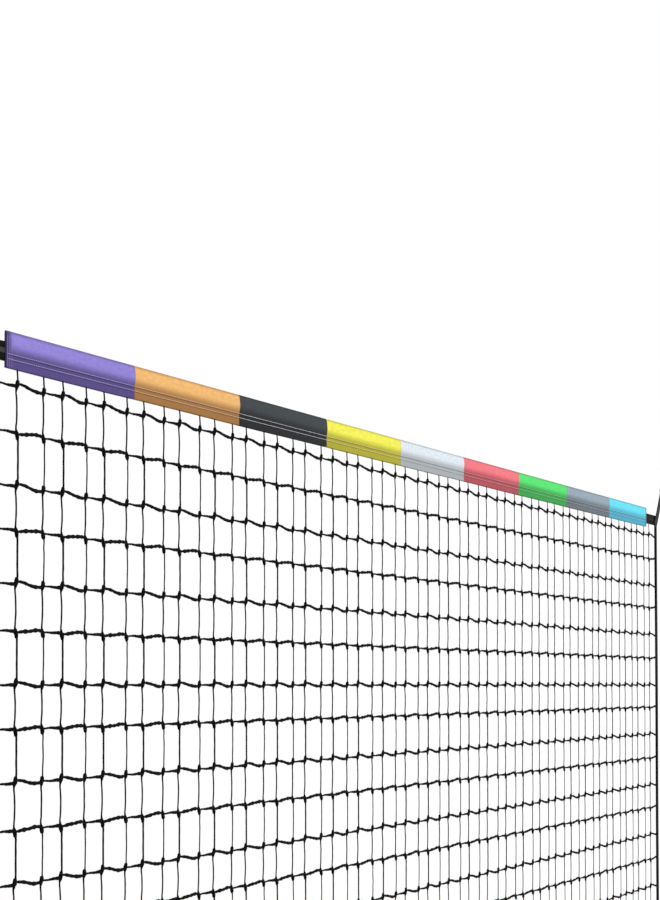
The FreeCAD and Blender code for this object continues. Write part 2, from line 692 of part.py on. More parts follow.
def buckle_frame():
    """The buckle's plate, two side walls and bar. Its origin is under the pin, on the strap's inner face."""
    half = DOC.addObject("Sketcher::SketchObject", "buckle_wall_outline")
    outline(half, [
        ("-bar_back - 2.5", "-bar_drop - 2.1"), ("-bar_back + 4.5", "-bar_drop - 2.1"),
        ("-10", "-plate_thick - sew_gap"), ("11", "-plate_thick - sew_gap"), ("11", "4"),
        ("6", "pin_rise + 2.8"), ("-6", "pin_rise + 2.8"), ("-14", "2.5"), ("-bar_back - 2.5", "-1.5"),
    ])
    walls = []
    for name, low in (("buckle_wall_top", "wall_in"), ("buckle_wall_low", "-wall_out")):
        walls.append(seat(extrude(name, half, "plate_thick"), ("0", "0", low)))
    corner = ("-10", "-plate_thick - sew_gap", "-wall_out")
    plate = box("buckle_plate", "21", "plate_thick", "2 * wall_out", corner)
    bar = cylinder("buckle_bar", "bar_d / 2", "2 * wall_out", ("-bar_back", "-bar_drop", "-wall_out"))
    below = ("0", "pin_rise", "-2 * wall_out")
    hole = cylinder("buckle_pin_hole", "pin_d / 2 + tube_gap / 2", "4 * wall_out", below)
    made = cut("cam_buckle_right", fuse("buckle_solid", walls + [plate, bar]), [hole])
    return seat(made, ("pin_x", "wrap_in", "bottom_height"))


def cam_lever():
    """The lever on the buckle's pin. Its eccentric nose has three teeth that pinch the strap when shut."""
    body = DOC.addObject("PartDesign::Body", "cam_lever_right")
    profile = sketch_on(body, "XY_Plane", "lever_profile")
    bite = "pin_rise - web_thick - sew_gap"
    outline(profile, [
        ("3.1", "-2.6"), ("2.0", f"0.5 - ({bite})"), ("1.1", f"1.3 - ({bite})"), ("0", f"-({bite})"),
        ("-0.9", f"1.1 - ({bite})"), ("-2.0", f"0.2 - ({bite})"), ("-2.9", f"1.3 - ({bite})"),
        ("-4.2", "-1.6"), ("-6.5", "1.4"), ("-22", "1.9"), ("-26.5", "4.2", "3"), ("-25.6", "5.8"),
        ("-21", "4.3"), ("-6", "4.4"), ("0", "4.2"), ("3.4", "2.2"),
    ])
    circle(profile, "0", "0", "pin_d / 2 + tube_gap / 2")
    solid = body.newObject("PartDesign::Pad", "lever_solid")
    solid.Profile = profile
    bind(solid, Length="2 * (wall_in - lever_gap)")
    at = ("pin_x", "wrap_in + pin_rise", "bottom_height - (wall_in - lever_gap)")
    return seat(body, at)


def cam_pins():
    foot = ("pin_x", "wrap_in + pin_rise", "bottom_height - wall_out")
    right = cylinder("cam_pin", "pin_d / 2", "2 * wall_out", foot)
    return group("cam_pins", [right, mirrored("cam_pin_left", right)])


# The whole net, right-hand pieces first and then their mirrored twins

upper_pole, lower_pole, ferrule = poles()
outer_rail, inner_rail, left_inner_rail = rails()
spigot_right, button_right, spring_right = rail_joint("right", "rail_split")
spigot_middle, button_middle, spring_middle = rail_joint("middle", "0")
foot_saddle, rail_saddle = saddles()
boots = foot_boots()
TWINS = [
    side_tape(), corner_strap(), anchor_strap(), buckle_tab(), buckle_frame(), cam_lever(), pole_hook(),
    upper_pole, lower_pole, ferrule, pole_socket(), outer_rail, spigot_right, button_right, spring_right,
    foot_tube(), boots, foot_saddle, rail_saddle,
]
NODES = headband() + [headline(), net(), bottom_tape(), inner_rail, left_inner_rail]
NODES += [spigot_middle, button_middle, spring_middle, *swivel_fixings(), cam_pins()] + TWINS
NODES += [mirrored(piece.Name.replace("_right", "_left"), piece) for piece in TWINS]

DOC.recompute()
for thing in DOC.Objects:
    if {"Invalid", "Error"} & set(thing.State):
        raise ValueError(f"{thing.Name} did not build")
os.makedirs("parts", exist_ok=True)
for node in NODES:
    node.Label = node.Name
    shape = node.Shape
    if shape.isNull() or not shape.isValid() or not shape.Solids:
        raise ValueError(f"{node.Label} is not a valid solid")
for node in NODES:
    node.Shape.exportStep(f"parts/{node.Label}.step")
print(len(NODES), "nodes")
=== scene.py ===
import json
import math

import bpy
import numpy as np
from mathutils import Matrix, Vector


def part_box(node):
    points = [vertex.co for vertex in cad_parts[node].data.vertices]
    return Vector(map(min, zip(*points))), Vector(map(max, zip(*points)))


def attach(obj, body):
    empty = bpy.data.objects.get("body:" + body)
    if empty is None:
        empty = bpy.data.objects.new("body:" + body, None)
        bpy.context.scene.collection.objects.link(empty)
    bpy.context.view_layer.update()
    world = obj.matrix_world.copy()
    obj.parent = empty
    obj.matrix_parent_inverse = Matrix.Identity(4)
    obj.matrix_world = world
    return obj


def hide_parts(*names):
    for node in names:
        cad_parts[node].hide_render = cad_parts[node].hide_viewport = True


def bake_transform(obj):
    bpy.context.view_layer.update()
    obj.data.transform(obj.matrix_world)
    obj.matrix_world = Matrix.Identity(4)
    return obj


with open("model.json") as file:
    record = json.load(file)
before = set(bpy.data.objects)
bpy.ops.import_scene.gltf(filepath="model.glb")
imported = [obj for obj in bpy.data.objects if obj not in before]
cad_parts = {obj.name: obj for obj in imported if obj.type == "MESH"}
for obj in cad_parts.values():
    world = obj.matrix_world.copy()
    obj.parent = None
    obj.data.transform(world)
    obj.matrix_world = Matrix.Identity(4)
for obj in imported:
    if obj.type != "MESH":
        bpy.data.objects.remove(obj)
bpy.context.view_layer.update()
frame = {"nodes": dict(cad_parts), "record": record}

RNG = np.random.default_rng(7)
BODY = "net_and_frame"

# Sizes in millimetres and degrees, as in the part's source
CELL, TOP, HALF = 50.8, 914.0, 1371.6
COLOURS = ("purple", "orange", "charcoal", "yellow", "white", "red", "green", "grey", "cyan")
SECTION = 2 * HALF / len(COLOURS)
TAPE_SPACE, POLE_SPACE, WEB_DROP, HEM_Z, BIND_FACE = 83, 60, 21.3, 94.0, 2.3
WEB_WIDE, WEB_THICK, CLOTH_GAP = 20.0, 1.8, 0.3
POLE_LEAN, TIP_LEAN, SPLIT_LEAN, BOW_R = 6.5, 0.5, 3.0, 7050
POLE_R, TUBE_GAP, HOOK_WALL, HOOK_RISE, HOOK_CAP, HOOK_CHAMFER = 6.35, 0.1, 2.6, 2, 7, 3
SOCKET_R, SOCKET_UP, HORN_R = 9.45, 62, 7
FOOT_HALF, FOOT_FLAT, FOOT_SLOPE, FOOT_INSET, SOLE = 320, 60, 2.8, 62, 3.6
TUBE_R, SADDLES = 12.7, 31.8
PIN_BACK, PIN_RISE, BAR_BACK, BAR_DROP, STRAP_TAIL = 23, 6.4, 15.5, 4.1, 75
STRAP_LOOP, STRAP_STITCH = 42, 22
LEAF_WIDE, LEAF_THICK, BUTTON_D = 8.0, 0.6, 7

# Sizes of the visible cloth, measured on the net itself
THIN = 1.3
BAND_HIGH, BAND_CLOTH = 37.8, 0.9
STITCH_DROPS = (23.5, 28.6)
END_EXTRA, END_SKEW = -2.4, 2.6
TAPE_WIDE, TAPE_HALF, TAPE_CLOTH = 12.5, 1.5, 0.6


def sind(a):
    return math.sin(math.radians(a))


def cosd(a):
    return math.cos(math.radians(a))


def tand(a):
    return math.tan(math.radians(a))


# Places worked out from the sizes: x outwards and z up, for the right side
TAPE_X, WEB_Z = HALF + TAPE_SPACE, TOP - WEB_DROP
FOLD_X = TAPE_X + WEB_WIDE / 2 - BIND_FACE
SOCKET_X = TAPE_X + POLE_SPACE
FOOT_X = SOCKET_X - FOOT_INSET
FOOT_Z = SOLE + TUBE_R / cosd(FOOT_SLOPE) + (FOOT_HALF - FOOT_FLAT) * tand(FOOT_SLOPE)
RAIL_Z = FOOT_Z + SADDLES
MOUTH = (SOCKET_X + SOCKET_UP * sind(POLE_LEAN), RAIL_Z + SOCKET_UP * cosd(POLE_LEAN))
BOW = (MOUTH[0] - BOW_R * cosd(POLE_LEAN), MOUTH[1] + BOW_R * sind(POLE_LEAN))
SPLIT = (BOW[0] + BOW_R * cosd(SPLIT_LEAN), BOW[1] - BOW_R * sind(SPLIT_LEAN))
ELBOW = (BOW[0] + BOW_R * cosd(TIP_LEAN) - HOOK_RISE * sind(TIP_LEAN),
         BOW[1] + BOW_R * sind(TIP_LEAN) + HOOK_RISE * cosd(TIP_LEAN))
SEAT = math.hypot(POLE_R + TUBE_GAP + HOOK_WALL, HOOK_CAP - HOOK_CHAMFER) + CLOTH_GAP + WEB_WIDE / 2
OUT, RISE = ELBOW[0] - TAPE_X, ELBOW[1] - WEB_Z
RUN = math.sqrt(OUT**2 + RISE**2 - SEAT**2)
STRAP_ANGLE = math.atan2(RISE, OUT) + math.atan2(SEAT, RUN)
WRAP_X = SOCKET_X + (HEM_Z - RAIL_Z) * tand(POLE_LEAN)
WRAP_IN = SOCKET_R / cosd(POLE_LEAN) + WEB_WIDE / 2 * tand(POLE_LEAN) + CLOTH_GAP
PIN_X = WRAP_X - PIN_BACK
SIDES = ((-1, "left"), (1, "right"))


def metres(size):
    """Millimetres as metres, for one size or an array."""
    return size / 1000


# Materials

def linear(rgb):
    return [(c / 255 / 12.92) if c / 255 <= 0.04045 else ((c / 255 + 0.055) / 1.055) ** 2.4 for c in rgb]


def shade(rgb, times, plus=0.0):
    """A colour in linear light, made darker or lighter."""
    return [min(1, c * times + plus) for c in linear(rgb)]


class Nodes:
    """A node tree built up from small pieces."""

    def __init__(self, tree):
        self.tree = tree

    def put(self, socket, value):
        if isinstance(value, bpy.types.NodeSocket):
            self.tree.links.new(value, socket)
        elif isinstance(value, (list, tuple)) and len(value) == 3 and socket.type == "RGBA":
            socket.default_value = (*value, 1)
        else:
            socket.default_value = value

    def node(self, kind, settings=None, **inputs):
        """A new node. An input goes by its name, with _ for a space, or by its number, as i0 or i1."""
        made = self.tree.nodes.new("ShaderNode" + kind)
        for key, value in (settings or {}).items():
            setattr(made, key, value)
        for key, value in inputs.items():
            numbered = key[0] == "i" and key[1:].isdigit()
            self.put(made.inputs[int(key[1:]) if numbered else key.replace("_", " ")], value)
        return made

    def math(self, kind, a, b=0.0, c=0.0):
        return self.node("Math", {"operation": kind}, i0=a, i1=b, i2=c).outputs[0]

    def mix(self, factor, a, b, blend="MIX"):
        made = self.node("Mix", {"data_type": "RGBA", "blend_type": blend, "clamp_factor": True})
        for index, value in ((0, factor), (6, a), (7, b)):
            self.put(made.inputs[index], value)
        return made.outputs[2]

    def ramp(self, value, low, high, out_low=0.0, out_high=1.0, smooth=False):
        kind = "SMOOTHSTEP" if smooth else "LINEAR"
        made = self.node("MapRange", {"interpolation_type": kind, "clamp": True}, i0=value, i1=low, i2=high,
                         i3=out_low, i4=out_high)
        return made.outputs[0]

    def place(self):
        return self.node("TexCoord").outputs["Object"]

    def uv(self):
        return self.node("UVMap", {"uv_map": "metres"}).outputs[0]

    def parts(self, vector):
        return self.node("SeparateXYZ", i0=vector).outputs

    def stretched(self, vector, scale, kind="POINT"):
        return self.node("Mapping", {"vector_type": kind}, Vector=vector, Scale=scale).outputs[0]

    def noise(self, vector, scale, detail, rough=0.55):
        made = self.node("TexNoise", Vector=vector, Scale=scale, Detail=detail, Roughness=rough)
        return made.outputs["Fac"]

    def bump(self, height, strength, distance):
        return self.node("Bump", Height=height, Strength=strength, Distance=distance).outputs[0]

    def seen(self):
        """1 for what shows, straight or in gloss or glass, and 0 for other light."""
        rays = self.node("LightPath").outputs
        through = self.math("MAXIMUM", rays["Is Glossy Ray"], rays["Is Transmission Ray"])
        return self.math("MAXIMUM", rays["Is Camera Ray"], through)


class Material(Nodes):
    def __init__(self, name):
        self.mat = bpy.data.materials.new(name)
        self.mat.use_nodes = True
        super().__init__(self.mat.node_tree)
        self.shader = next(n for n in self.tree.nodes if n.type == "BSDF_PRINCIPLED")
        self.output = next(n for n in self.tree.nodes if n.type == "OUTPUT_MATERIAL")

    def finish(self, **sockets):
        for key, value in sockets.items():
            self.put(self.shader.inputs[key.replace("_", " ")], value)
        return self.mat


def weave(m, vector, pitch):
    """Plain weave of threads over and under each other, from 0 to 1."""
    along, across, _ = m.parts(vector)
    turn = 2 * math.pi / pitch
    a, b = m.math("MULTIPLY", along, turn), m.math("MULTIPLY", across, turn)
    ups = m.math("MULTIPLY", m.math("SINE", a), m.math("COSINE", b))
    return m.math("MULTIPLY_ADD", ups, 0.5, 0.5)


def cloth(name, rgb, flap_shade=None, pitch=0.0011, hem=None):
    """Woven polyester. Where the headband turns under, its colour goes over into a painted shade, with a
    painted shade along the crown and a painted shadow under each line of stitches. A hem at the band's end is
    painted in that shade too, and darker still along its edge."""
    m = Material(name)
    uv, place = m.uv(), m.place()
    threads = weave(m, uv, pitch)
    drawn = m.stretched(place, (0.3, 1, 1))
    mottle, broad = m.noise(drawn, 300, 4, 0.6), m.noise(drawn, 12, 2, 0.5)
    base = m.mix(m.ramp(mottle, 0.3, 0.7), shade(rgb, 0.85), shade(rgb, 1.08))
    base = m.mix(m.ramp(broad, 0.35, 0.7, 0, 0.10), base, shade(rgb, 0.7))
    base = m.mix(m.math("MULTIPLY", threads, 0.14), base, shade(rgb, 0.55))
    if flap_shade is not None:
        z, first = m.parts(place)[2], TOP - STITCH_DROPS[0]
        # Painted shade: the colour darkens gradually to the turned-under shade from 12 to 23.5 mm under the
        # top, and more below the upper stitches
        painted_turn_shade = m.ramp(z, metres(TOP - 23.5), metres(TOP - 12.0), 0.88, 0, True)
        below = m.ramp(z, metres(first - 0.9), metres(first + 0.5), 0.15, 0, True)
        base = m.mix(m.math("ADD", painted_turn_shade, below), base, linear(flap_shade))
        # Painted shade along the crown, and a painted shadow just under each line of stitches
        painted_crease_shade = m.ramp(z, metres(TOP - 4.6), metres(TOP - 0.8), 0, 0.5, True)
        for drop, depth in zip(STITCH_DROPS, (0.75, 0.5)):
            away = m.math("ABSOLUTE", m.math("SUBTRACT", z, metres(TOP - drop - 0.9)))
            painted_crease_shade = m.math("MAXIMUM", painted_crease_shade, m.ramp(away, 0.0003, 0.0013, depth, 0, True))
        base = m.mix(painted_crease_shade, base, shade(flap_shade, 0.42))
    if hem is not None:
        # Painted shade: the hem at the end takes the turned-under shade, with a darker painted shade along
        # its edge
        across = m.parts(uv)[1]
        inwards = across if hem == "start" else m.math("SUBTRACT", metres(SECTION), across)
        base = m.mix(m.ramp(inwards, 0.005, 0.0145, 0.95, 0, True), base, shade(flap_shade, 0.88))
        base = m.mix(m.ramp(inwards, 0.001, 0.0024, 0.85, 0, True), base, shade(flap_shade, 0.24))
    grain = m.bump(m.math("MULTIPLY_ADD", mottle, 0.6, threads), 0.35, 0.00025)
    return m.finish(Base_Color=base, Roughness=0.7, Normal=grain, Sheen_Weight=0.02, Sheen_Roughness=0.45,
                    Specular_IOR_Level=0.08)


def webbing(name, rgb, stripe=None, dark_edges=False):
    """Strap webbing: ribs across it, a plait along it, and sometimes a paler stripe or dark edges."""
    ribs, plait = 0.0016, 0.0025
    m = Material(name)
    along, across, _ = m.parts(m.uv())
    slant = m.math("PINGPONG", m.math("ADD", across, 1.0), plait)
    wave = m.math("SINE", m.math("MULTIPLY", m.math("ADD", along, slant), 2 * math.pi / ribs))
    ridge = m.math("MULTIPLY_ADD", wave, 0.5, 0.5)
    column = m.math("ABSOLUTE", m.math("SINE", m.math("MULTIPLY", across, math.pi / plait)))
    fuzz = m.noise(m.place(), 900, 2)
    base = m.mix(ridge, shade(rgb, 0.62), shade(rgb, 1.2))
    if stripe is not None:
        low, high, paler = stripe
        over_low = m.ramp(across, low - 0.0005, low + 0.0005)
        under_high = m.ramp(across, high - 0.0005, high + 0.0005, 1, 0)
        # Partly wear and partly painted sheen: the paler stripe fades along the belt towards +x
        wear_and_sheen_fade = m.ramp(m.parts(m.place())[0], -1.0, 1.0, 1, 0.25)
        inside = m.math("MULTIPLY", m.math("MULTIPLY", over_low, under_high), wear_and_sheen_fade)
        base = m.mix(inside, base, m.mix(ridge, shade(paler, 0.75), shade(paler, 1.15)))
    if dark_edges:
        from_middle = m.math("ABSOLUTE", m.math("SUBTRACT", across, metres(WEB_WIDE / 2)))
        base = m.mix(m.ramp(from_middle, 0.0076, 0.0088, 0, 0.9, True), base, linear((22, 22, 24)))
    base = m.mix(m.ramp(fuzz, 0.4, 0.8, 0, 0.15), base, shade(rgb, 2.4))
    height = m.math("MULTIPLY_ADD", column, 0.5, ridge)
    return m.finish(Base_Color=base, Roughness=0.72, Normal=m.bump(height, 0.55, 0.0003), Sheen_Weight=0.0,
                    Specular_IOR_Level=0.08)


def twine(name, rgb):
    """Dull black cord with a little fuzz."""
    m = Material(name)
    fuzz = m.noise(m.place(), 1400, 3, 0.65)
    base = m.mix(m.ramp(fuzz, 0.35, 0.75), shade(rgb, 0.6), shade(rgb, 1.6))
    return m.finish(Base_Color=base, Roughness=0.7, Normal=m.bump(fuzz, 0.6, 0.0004), Specular_IOR_Level=0.05)


def thread(name, rgb, under=()):
    """Sewing thread. Where it's sheer, the colours under it along the band show through."""
    m = Material(name)
    place = m.place()
    lay = m.noise(place, 2500, 2)
    base = linear(rgb)
    for n, (colour, share) in enumerate(under):
        beyond = m.math("GREATER_THAN", m.parts(place)[0], metres(-HALF + n * SECTION))
        base = m.mix(beyond, base, [a + (b - a) * share for a, b in zip(linear(rgb), linear(colour))])
    base = m.mix(lay, m.mix(1.0, base, [0.75] * 3, "MULTIPLY"), m.mix(1.0, base, [1.1] * 3, "MULTIPLY"))
    return m.finish(Base_Color=base, Roughness=0.5, Normal=m.bump(lay, 0.3, 0.0001), Specular_IOR_Level=0.4)


def coated(name, rgb):
    """Powder coat: fine orange peel, a little dust, and edges rubbed paler."""
    m = Material(name)
    place = m.place()
    peel, broad = m.noise(place, 2600, 2, 0.5), m.noise(place, 14, 4, 0.6)
    edges = m.node("NewGeometry").outputs["Pointiness"]
    rubbed = m.math("MULTIPLY", m.ramp(edges, 0.53, 0.62), m.ramp(m.noise(place, 120, 4), 0.4, 0.7, 0, 0.25))
    base = m.mix(m.ramp(broad, 0.3, 0.75, 0, 0.12), linear(rgb), shade(rgb, 1.5, 0.003))
    base = m.mix(rubbed, base, linear((120, 122, 125)))
    shine = m.ramp(m.noise(place, 60, 3), 0.3, 0.7, 0.39, 0.46)
    return m.finish(Base_Color=base, Roughness=shine, Normal=m.bump(peel, 0.12, 0.0002),
                    Specular_IOR_Level=0.5)


def fibreglass(name, rgb):
    """Drawn rod: fine streaks along its length under a clear finish."""
    m = Material(name)
    place = m.place()
    streak = m.noise(m.stretched(place, (0.001, 0.001, 0.12), "TEXTURE"), 1.2, 3, 0.6)
    base = m.mix(m.ramp(streak, 0.35, 0.7), shade(rgb, 0.7), shade(rgb, 1.7))
    shine = m.ramp(m.noise(place, 40, 3), 0.3, 0.7, 0.24, 0.36)
    return m.finish(Base_Color=base, Roughness=shine, Normal=m.bump(streak, 0.05, 0.0001), Coat_Weight=0.25,
                    Coat_Roughness=0.15)


def moulding(name, rgb):
    """Moulded plastic with a fine grain."""
    m = Material(name)
    place = m.place()
    grain, broad = m.noise(place, 3200, 2, 0.6), m.noise(place, 30, 3)
    base = m.mix(m.ramp(broad, 0.3, 0.7, 0, 0.4), linear(rgb), shade(rgb, 1.5))
    shine = m.ramp(grain, 0.3, 0.7, 0.5, 0.66)
    return m.finish(Base_Color=base, Roughness=shine, Normal=m.bump(grain, 0.25, 0.0002))


def rubber(name, rgb):
    """Black rubber, dusty near the floor."""
    m = Material(name)
    place = m.place()
    grain, dust = m.noise(place, 1500, 3, 0.6), m.noise(place, 25, 4)
    low = m.ramp(m.parts(place)[2], 0.0, 0.012, 0.5, 0.12)
    dusty = m.math("MULTIPLY", m.ramp(dust, 0.35, 0.75), low)
    base = m.mix(dusty, linear(rgb), linear((96, 92, 86)))
    return m.finish(Base_Color=base, Roughness=0.86, Normal=m.bump(grain, 0.3, 0.0003),
                    Specular_IOR_Level=0.3)


def zinc(name, rgb):
    """Bright zinc: faint crystalline patches and brushed lines."""
    m = Material(name)
    place = m.place()
    patch = m.node("TexVoronoi", Vector=place, Scale=420.0).outputs["Color"]
    tone = m.mix(0.14, linear(rgb), patch, "MULTIPLY")
    lines = m.noise(m.stretched(place, (0.05, 0.0008, 0.0008), "TEXTURE"), 1.0, 2)
    return m.finish(Base_Color=tone, Metallic=0.9, Roughness=m.ramp(lines, 0.3, 0.7, 0.26, 0.42),
                    Normal=m.bump(lines, 0.08, 0.0001))


# Each section's colour above, and its painted shade where the band turns under
UPPER = {"purple": (149, 134, 216), "orange": (244, 188, 116), "charcoal": (62, 68, 72),
         "yellow": (249, 243, 88), "white": (228, 238, 246), "red": (250, 124, 134),
         "green": (90, 232, 116), "grey": (154, 171, 184), "cyan": (108, 228, 252)}
PAINTED_FLAP_SHADE = {"purple": (84, 71, 128), "orange": (158, 112, 63), "charcoal": (30, 32, 34),
         "yellow": (172, 164, 49), "white": (167, 172, 175), "red": (173, 77, 87),
         "green": (55, 158, 73), "grey": (104, 114, 122), "cyan": (76, 168, 194)}
HEMS = {"purple": "start", "cyan": "end"}
CLOTHS = {c: cloth("cloth_" + c, UPPER[c], PAINTED_FLAP_SHADE[c], hem=HEMS.get(c)) for c in COLOURS}
BINDING = cloth("binding_cloth", (9, 9, 10), pitch=0.0009)
BELT = webbing("belt_black", (5, 5, 6), (0.0082, 0.0133, (62, 62, 64)))
STRAP = webbing("strap_grey", (50, 51, 53), dark_edges=True)
TWINE = twine("twine_black", (4, 4, 5))
# How much of a section's colour shows through the pale thread, where it isn't 0.6
SHEER = {"charcoal": 0.0, "white": 0.3}
THREAD = thread("thread_pale", (204, 200, 208), [(UPPER[c], SHEER.get(c, 0.6)) for c in COLOURS])
THREAD_HEM = thread("thread_hem", (156, 144, 184))
THREAD_DARK = thread("thread_dark", (40, 40, 43))
COAT = coated("coat_black", (34, 36, 39))
ROD = fibreglass("rod_black", (26, 27, 30))
MOULD = moulding("mould_black", (30, 31, 33))
RUBBER = rubber("rubber_black", (27, 27, 28))
ZINC = zinc("zinc_bright", (158, 160, 164))

SLOTS = {"coated_steel": COAT, "fibreglass": ROD, "moulding": MOULD, "boot_rubber": RUBBER,
         "zinc_steel": ZINC, "binding": BINDING, "webbing": BELT, "strap": STRAP, "twine": TWINE}
SLOTS.update({c + "_cloth": CLOTHS[c] for c in COLOURS})
for row in frame["record"]["subparts"]:
    node = frame["nodes"][row["node"]]
    for held in node.material_slots:
        held.material = SLOTS[row["material_slot"]]


# Meshes

def build(name, verts, faces, mat, uvs=None, smooth=True):
    """A mesh object from points in millimetres."""
    data = bpy.data.meshes.new(name)
    data.from_pydata(metres(np.asarray(verts)).tolist(), [], [tuple(map(int, f)) for f in faces])
    if uvs is not None:
        layer = data.uv_layers.new(name="metres")
        loops = np.empty(len(data.loops), dtype=np.int64)
        data.loops.foreach_get("vertex_index", loops)
        layer.data.foreach_set("uv", metres(np.asarray(uvs))[loops].ravel())
    data.materials.append(mat)
    data.polygons.foreach_set("use_smooth", [smooth] * len(data.polygons))
    data.update()
    made = bpy.data.objects.new(name, data)
    bpy.context.scene.collection.objects.link(made)
    return made


def stand_for(piece, slot, *nodes, body=BODY):
    """The piece takes the place of the nodes, or is added where there are none, and rides the body."""
    if nodes:
        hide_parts(*nodes)
    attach(piece, body)
    return piece


def unit(v):
    return v / np.linalg.norm(v, axis=-1, keepdims=True)


def tangents(path):
    return unit(np.gradient(path, axis=0))


def run_of(path):
    """How far along the path each of its points lies."""
    return np.r_[0, np.cumsum(np.linalg.norm(np.diff(path, axis=0), axis=1))]


def sides_of(t):
    """A direction square to each tangent, carried along so that it never flips over."""
    ref = np.array([0.0, 1.0, 0.0]) if abs(t[0][1]) < 0.9 else np.array([1.0, 0, 0])
    if np.abs(t[:, 1]).max() < 0.9:
        return unit(ref - (t @ ref)[:, None] * t)
    found = []
    for tangent in t:
        ref = ref - (ref @ tangent) * tangent
        ref = ref / np.linalg.norm(ref)
        found.append(ref)
    return np.array(found)


def lofts(name, runs, sides, mat, flat=1.0):
    """Many closed tubes in one mesh. A run is its points, radii, twist and ovalness, and flat thins the tubes
    in y."""
    verts, faces, base = [], [], 0
    angle = 2 * np.pi * np.arange(sides) / sides
    for path, radii, twist, oval in runs:
        path = np.asarray(path, float)
        t = tangents(path)
        a = sides_of(t)
        b = np.cross(t, a)
        swell = 1 + oval * np.cos(2 * (angle[None] - np.asarray(twist)[:, None]))
        size = np.asarray(radii)[:, None] * swell
        away = np.cos(angle)[None, :, None] * a[:, None] + np.sin(angle)[None, :, None] * b[:, None]
        ring = path[:, None] + size[..., None] * away * (1, flat, 1)
        count = len(path)
        verts.append(ring.reshape(-1, 3))
        i, k = np.meshgrid(np.arange(count - 1), np.arange(sides), indexing="ij")
        this, after = base + i * sides, base + (i + 1) * sides
        n = (k + 1) % sides
        faces.append(np.stack([this + k, this + n, after + n, after + k], -1).reshape(-1, 4))
        faces.append([base + np.arange(sides)[::-1]])
        faces.append([base + (count - 1) * sides + np.arange(sides)])
        base += count * sides
    return build(name, np.concatenate(verts), [f for block in faces for f in block], mat)


def fillet(points, reach, steps):
    """The same route with each corner rounded."""
    points = [np.asarray(p, float) for p in points]
    out = [points[0]]
    for before, corner, after in zip(points, points[1:], points[2:]):
        a, b = corner - before, after - corner
        size = min(reach, 0.45 * np.linalg.norm(a), 0.45 * np.linalg.norm(b))
        start, end = corner - unit(a) * size, corner + unit(b) * size
        for t in np.linspace(0, 1, steps):
            out.append((1 - t) ** 2 * start + 2 * t * (1 - t) * corner + t**2 * end)
    return out + [points[-1]]


def even(points, step):
    """The route at equal steps."""
    points = np.asarray(points, float)
    keep = np.r_[True, np.linalg.norm(np.diff(points, axis=0), axis=1) > 1e-6]
    points = points[keep]
    run = run_of(points)
    at = np.linspace(0, run[-1], max(2, round(run[-1] / step) + 1))
    return np.stack([np.interp(at, run, points[:, k]) for k in range(3)], 1)


def ribbon(name, path, across, width, thick, columns, mat, shift=None, edge=0.5, centred=True):
    """Cloth or webbing as a closed strip: its middle line runs along the path, and its width lies across it.
    columns is a number or the places across, shift moves the points, and edge thins the two long sides."""
    path = np.asarray(path, float)
    across = unit(np.asarray(across, float))
    normal = unit(np.cross(across, tangents(path)))
    run = run_of(path)
    w = np.linspace(0, width, columns + 1) if isinstance(columns, int) else np.asarray(columns, float)
    rows, last = len(path), len(w) - 1
    tight = np.full(last + 1, thick / 2)
    tight[0] = tight[-1] = thick / 2 * edge
    grid = path[:, None] + across * (w[None, :, None] - (width / 2 if centred else 0))
    layers = []
    for side in (1, -1):
        layer = grid + side * normal[:, None] * tight[None, :, None]
        if shift is not None:
            layer = layer + shift(w[None, :], grid)
        layers.append(layer.reshape(-1, 3))
    size = rows * (last + 1)

    def at(i, k):
        return i * (last + 1) + k

    def rim(a, b):
        """The strip that joins the two layers along one side."""
        return np.stack([a, b, b + size, a + size], -1)

    i, k = np.meshgrid(np.arange(rows - 1), np.arange(last), indexing="ij")
    quad = np.stack([at(i, k), at(i + 1, k), at(i + 1, k + 1), at(i, k + 1)], -1).reshape(-1, 4)
    faces = [quad[:, ::-1], quad + size]
    i, k = np.arange(rows - 1), np.arange(last)
    faces.append(rim(at(i, 0), at(i + 1, 0)))
    faces.append(rim(at(i, last), at(i + 1, last))[:, [0, 3, 2, 1]])
    faces.append(rim(at(0, k), at(0, k + 1))[:, [0, 3, 2, 1]])
    faces.append(rim(at(rows - 1, k), at(rows - 1, k + 1)))
    uv = np.stack(np.broadcast_arrays(run[:, None], w[None, :]), -1).reshape(-1, 2)
    return build(name, np.concatenate(layers), np.concatenate(faces), mat, np.concatenate([uv, uv]))


def stitches(name, seams, pitch, length, radius, mat, sides=6):
    """Rows of single stitches. A seam is its start, its end and the direction it stands out in."""
    heights, girths = (-0.35, 0.1, 0.22, 0.1, -0.35), (0.6, 0.95, 1.0, 0.95, 0.6)
    runs = []
    for start, end, out in seams:
        start, end, out = (np.asarray(v, float) for v in (start, end, out))
        whole = np.linalg.norm(end - start)
        along = (end - start) / whole
        for n in range(int(whole / pitch)):
            first = start + along * (n + 0.5) * pitch + (RNG.random(3) - 0.5) * 0.12
            rise = np.array(heights) * radius * 2
            path = first + along * np.linspace(-0.5, 0.5, 5)[:, None] * length + out * rise[:, None]
            runs.append((path, np.array(girths) * radius, np.zeros(5), 0.0))
    return lofts(name, runs, sides, mat)


# The headband

# Half the section of the band, as how far its outer face stands out at each height over its lower edge
SWELL = ((2.3, 0), (2.25, 4), (2.05, 9.2), (2.1, 12), (2.0, 14.3), (2.4, 16.4), (2.85, 18.6), (3.12, 20.5),
         (3.25, 23), (3.15, 27.5), (2.9, 31.2), (2.45, 34.3), (1.75, 36.5), (0.9, 37.5), (0, BAND_HIGH))
# How far out the cloth lies where it is sewn flat, and the places across a section that has a hem
FLAT_OUT = 0.9
HEM_PLACES = (0, 1, 2, 4, 7, 10, 13, 15, 15.4)
# Rows of stitches through a hem, as how far they lie from the end and how far out
HEM_ROWS = ((3.2, 1.8), (7.0, 2.0), (11.2, 2.15))


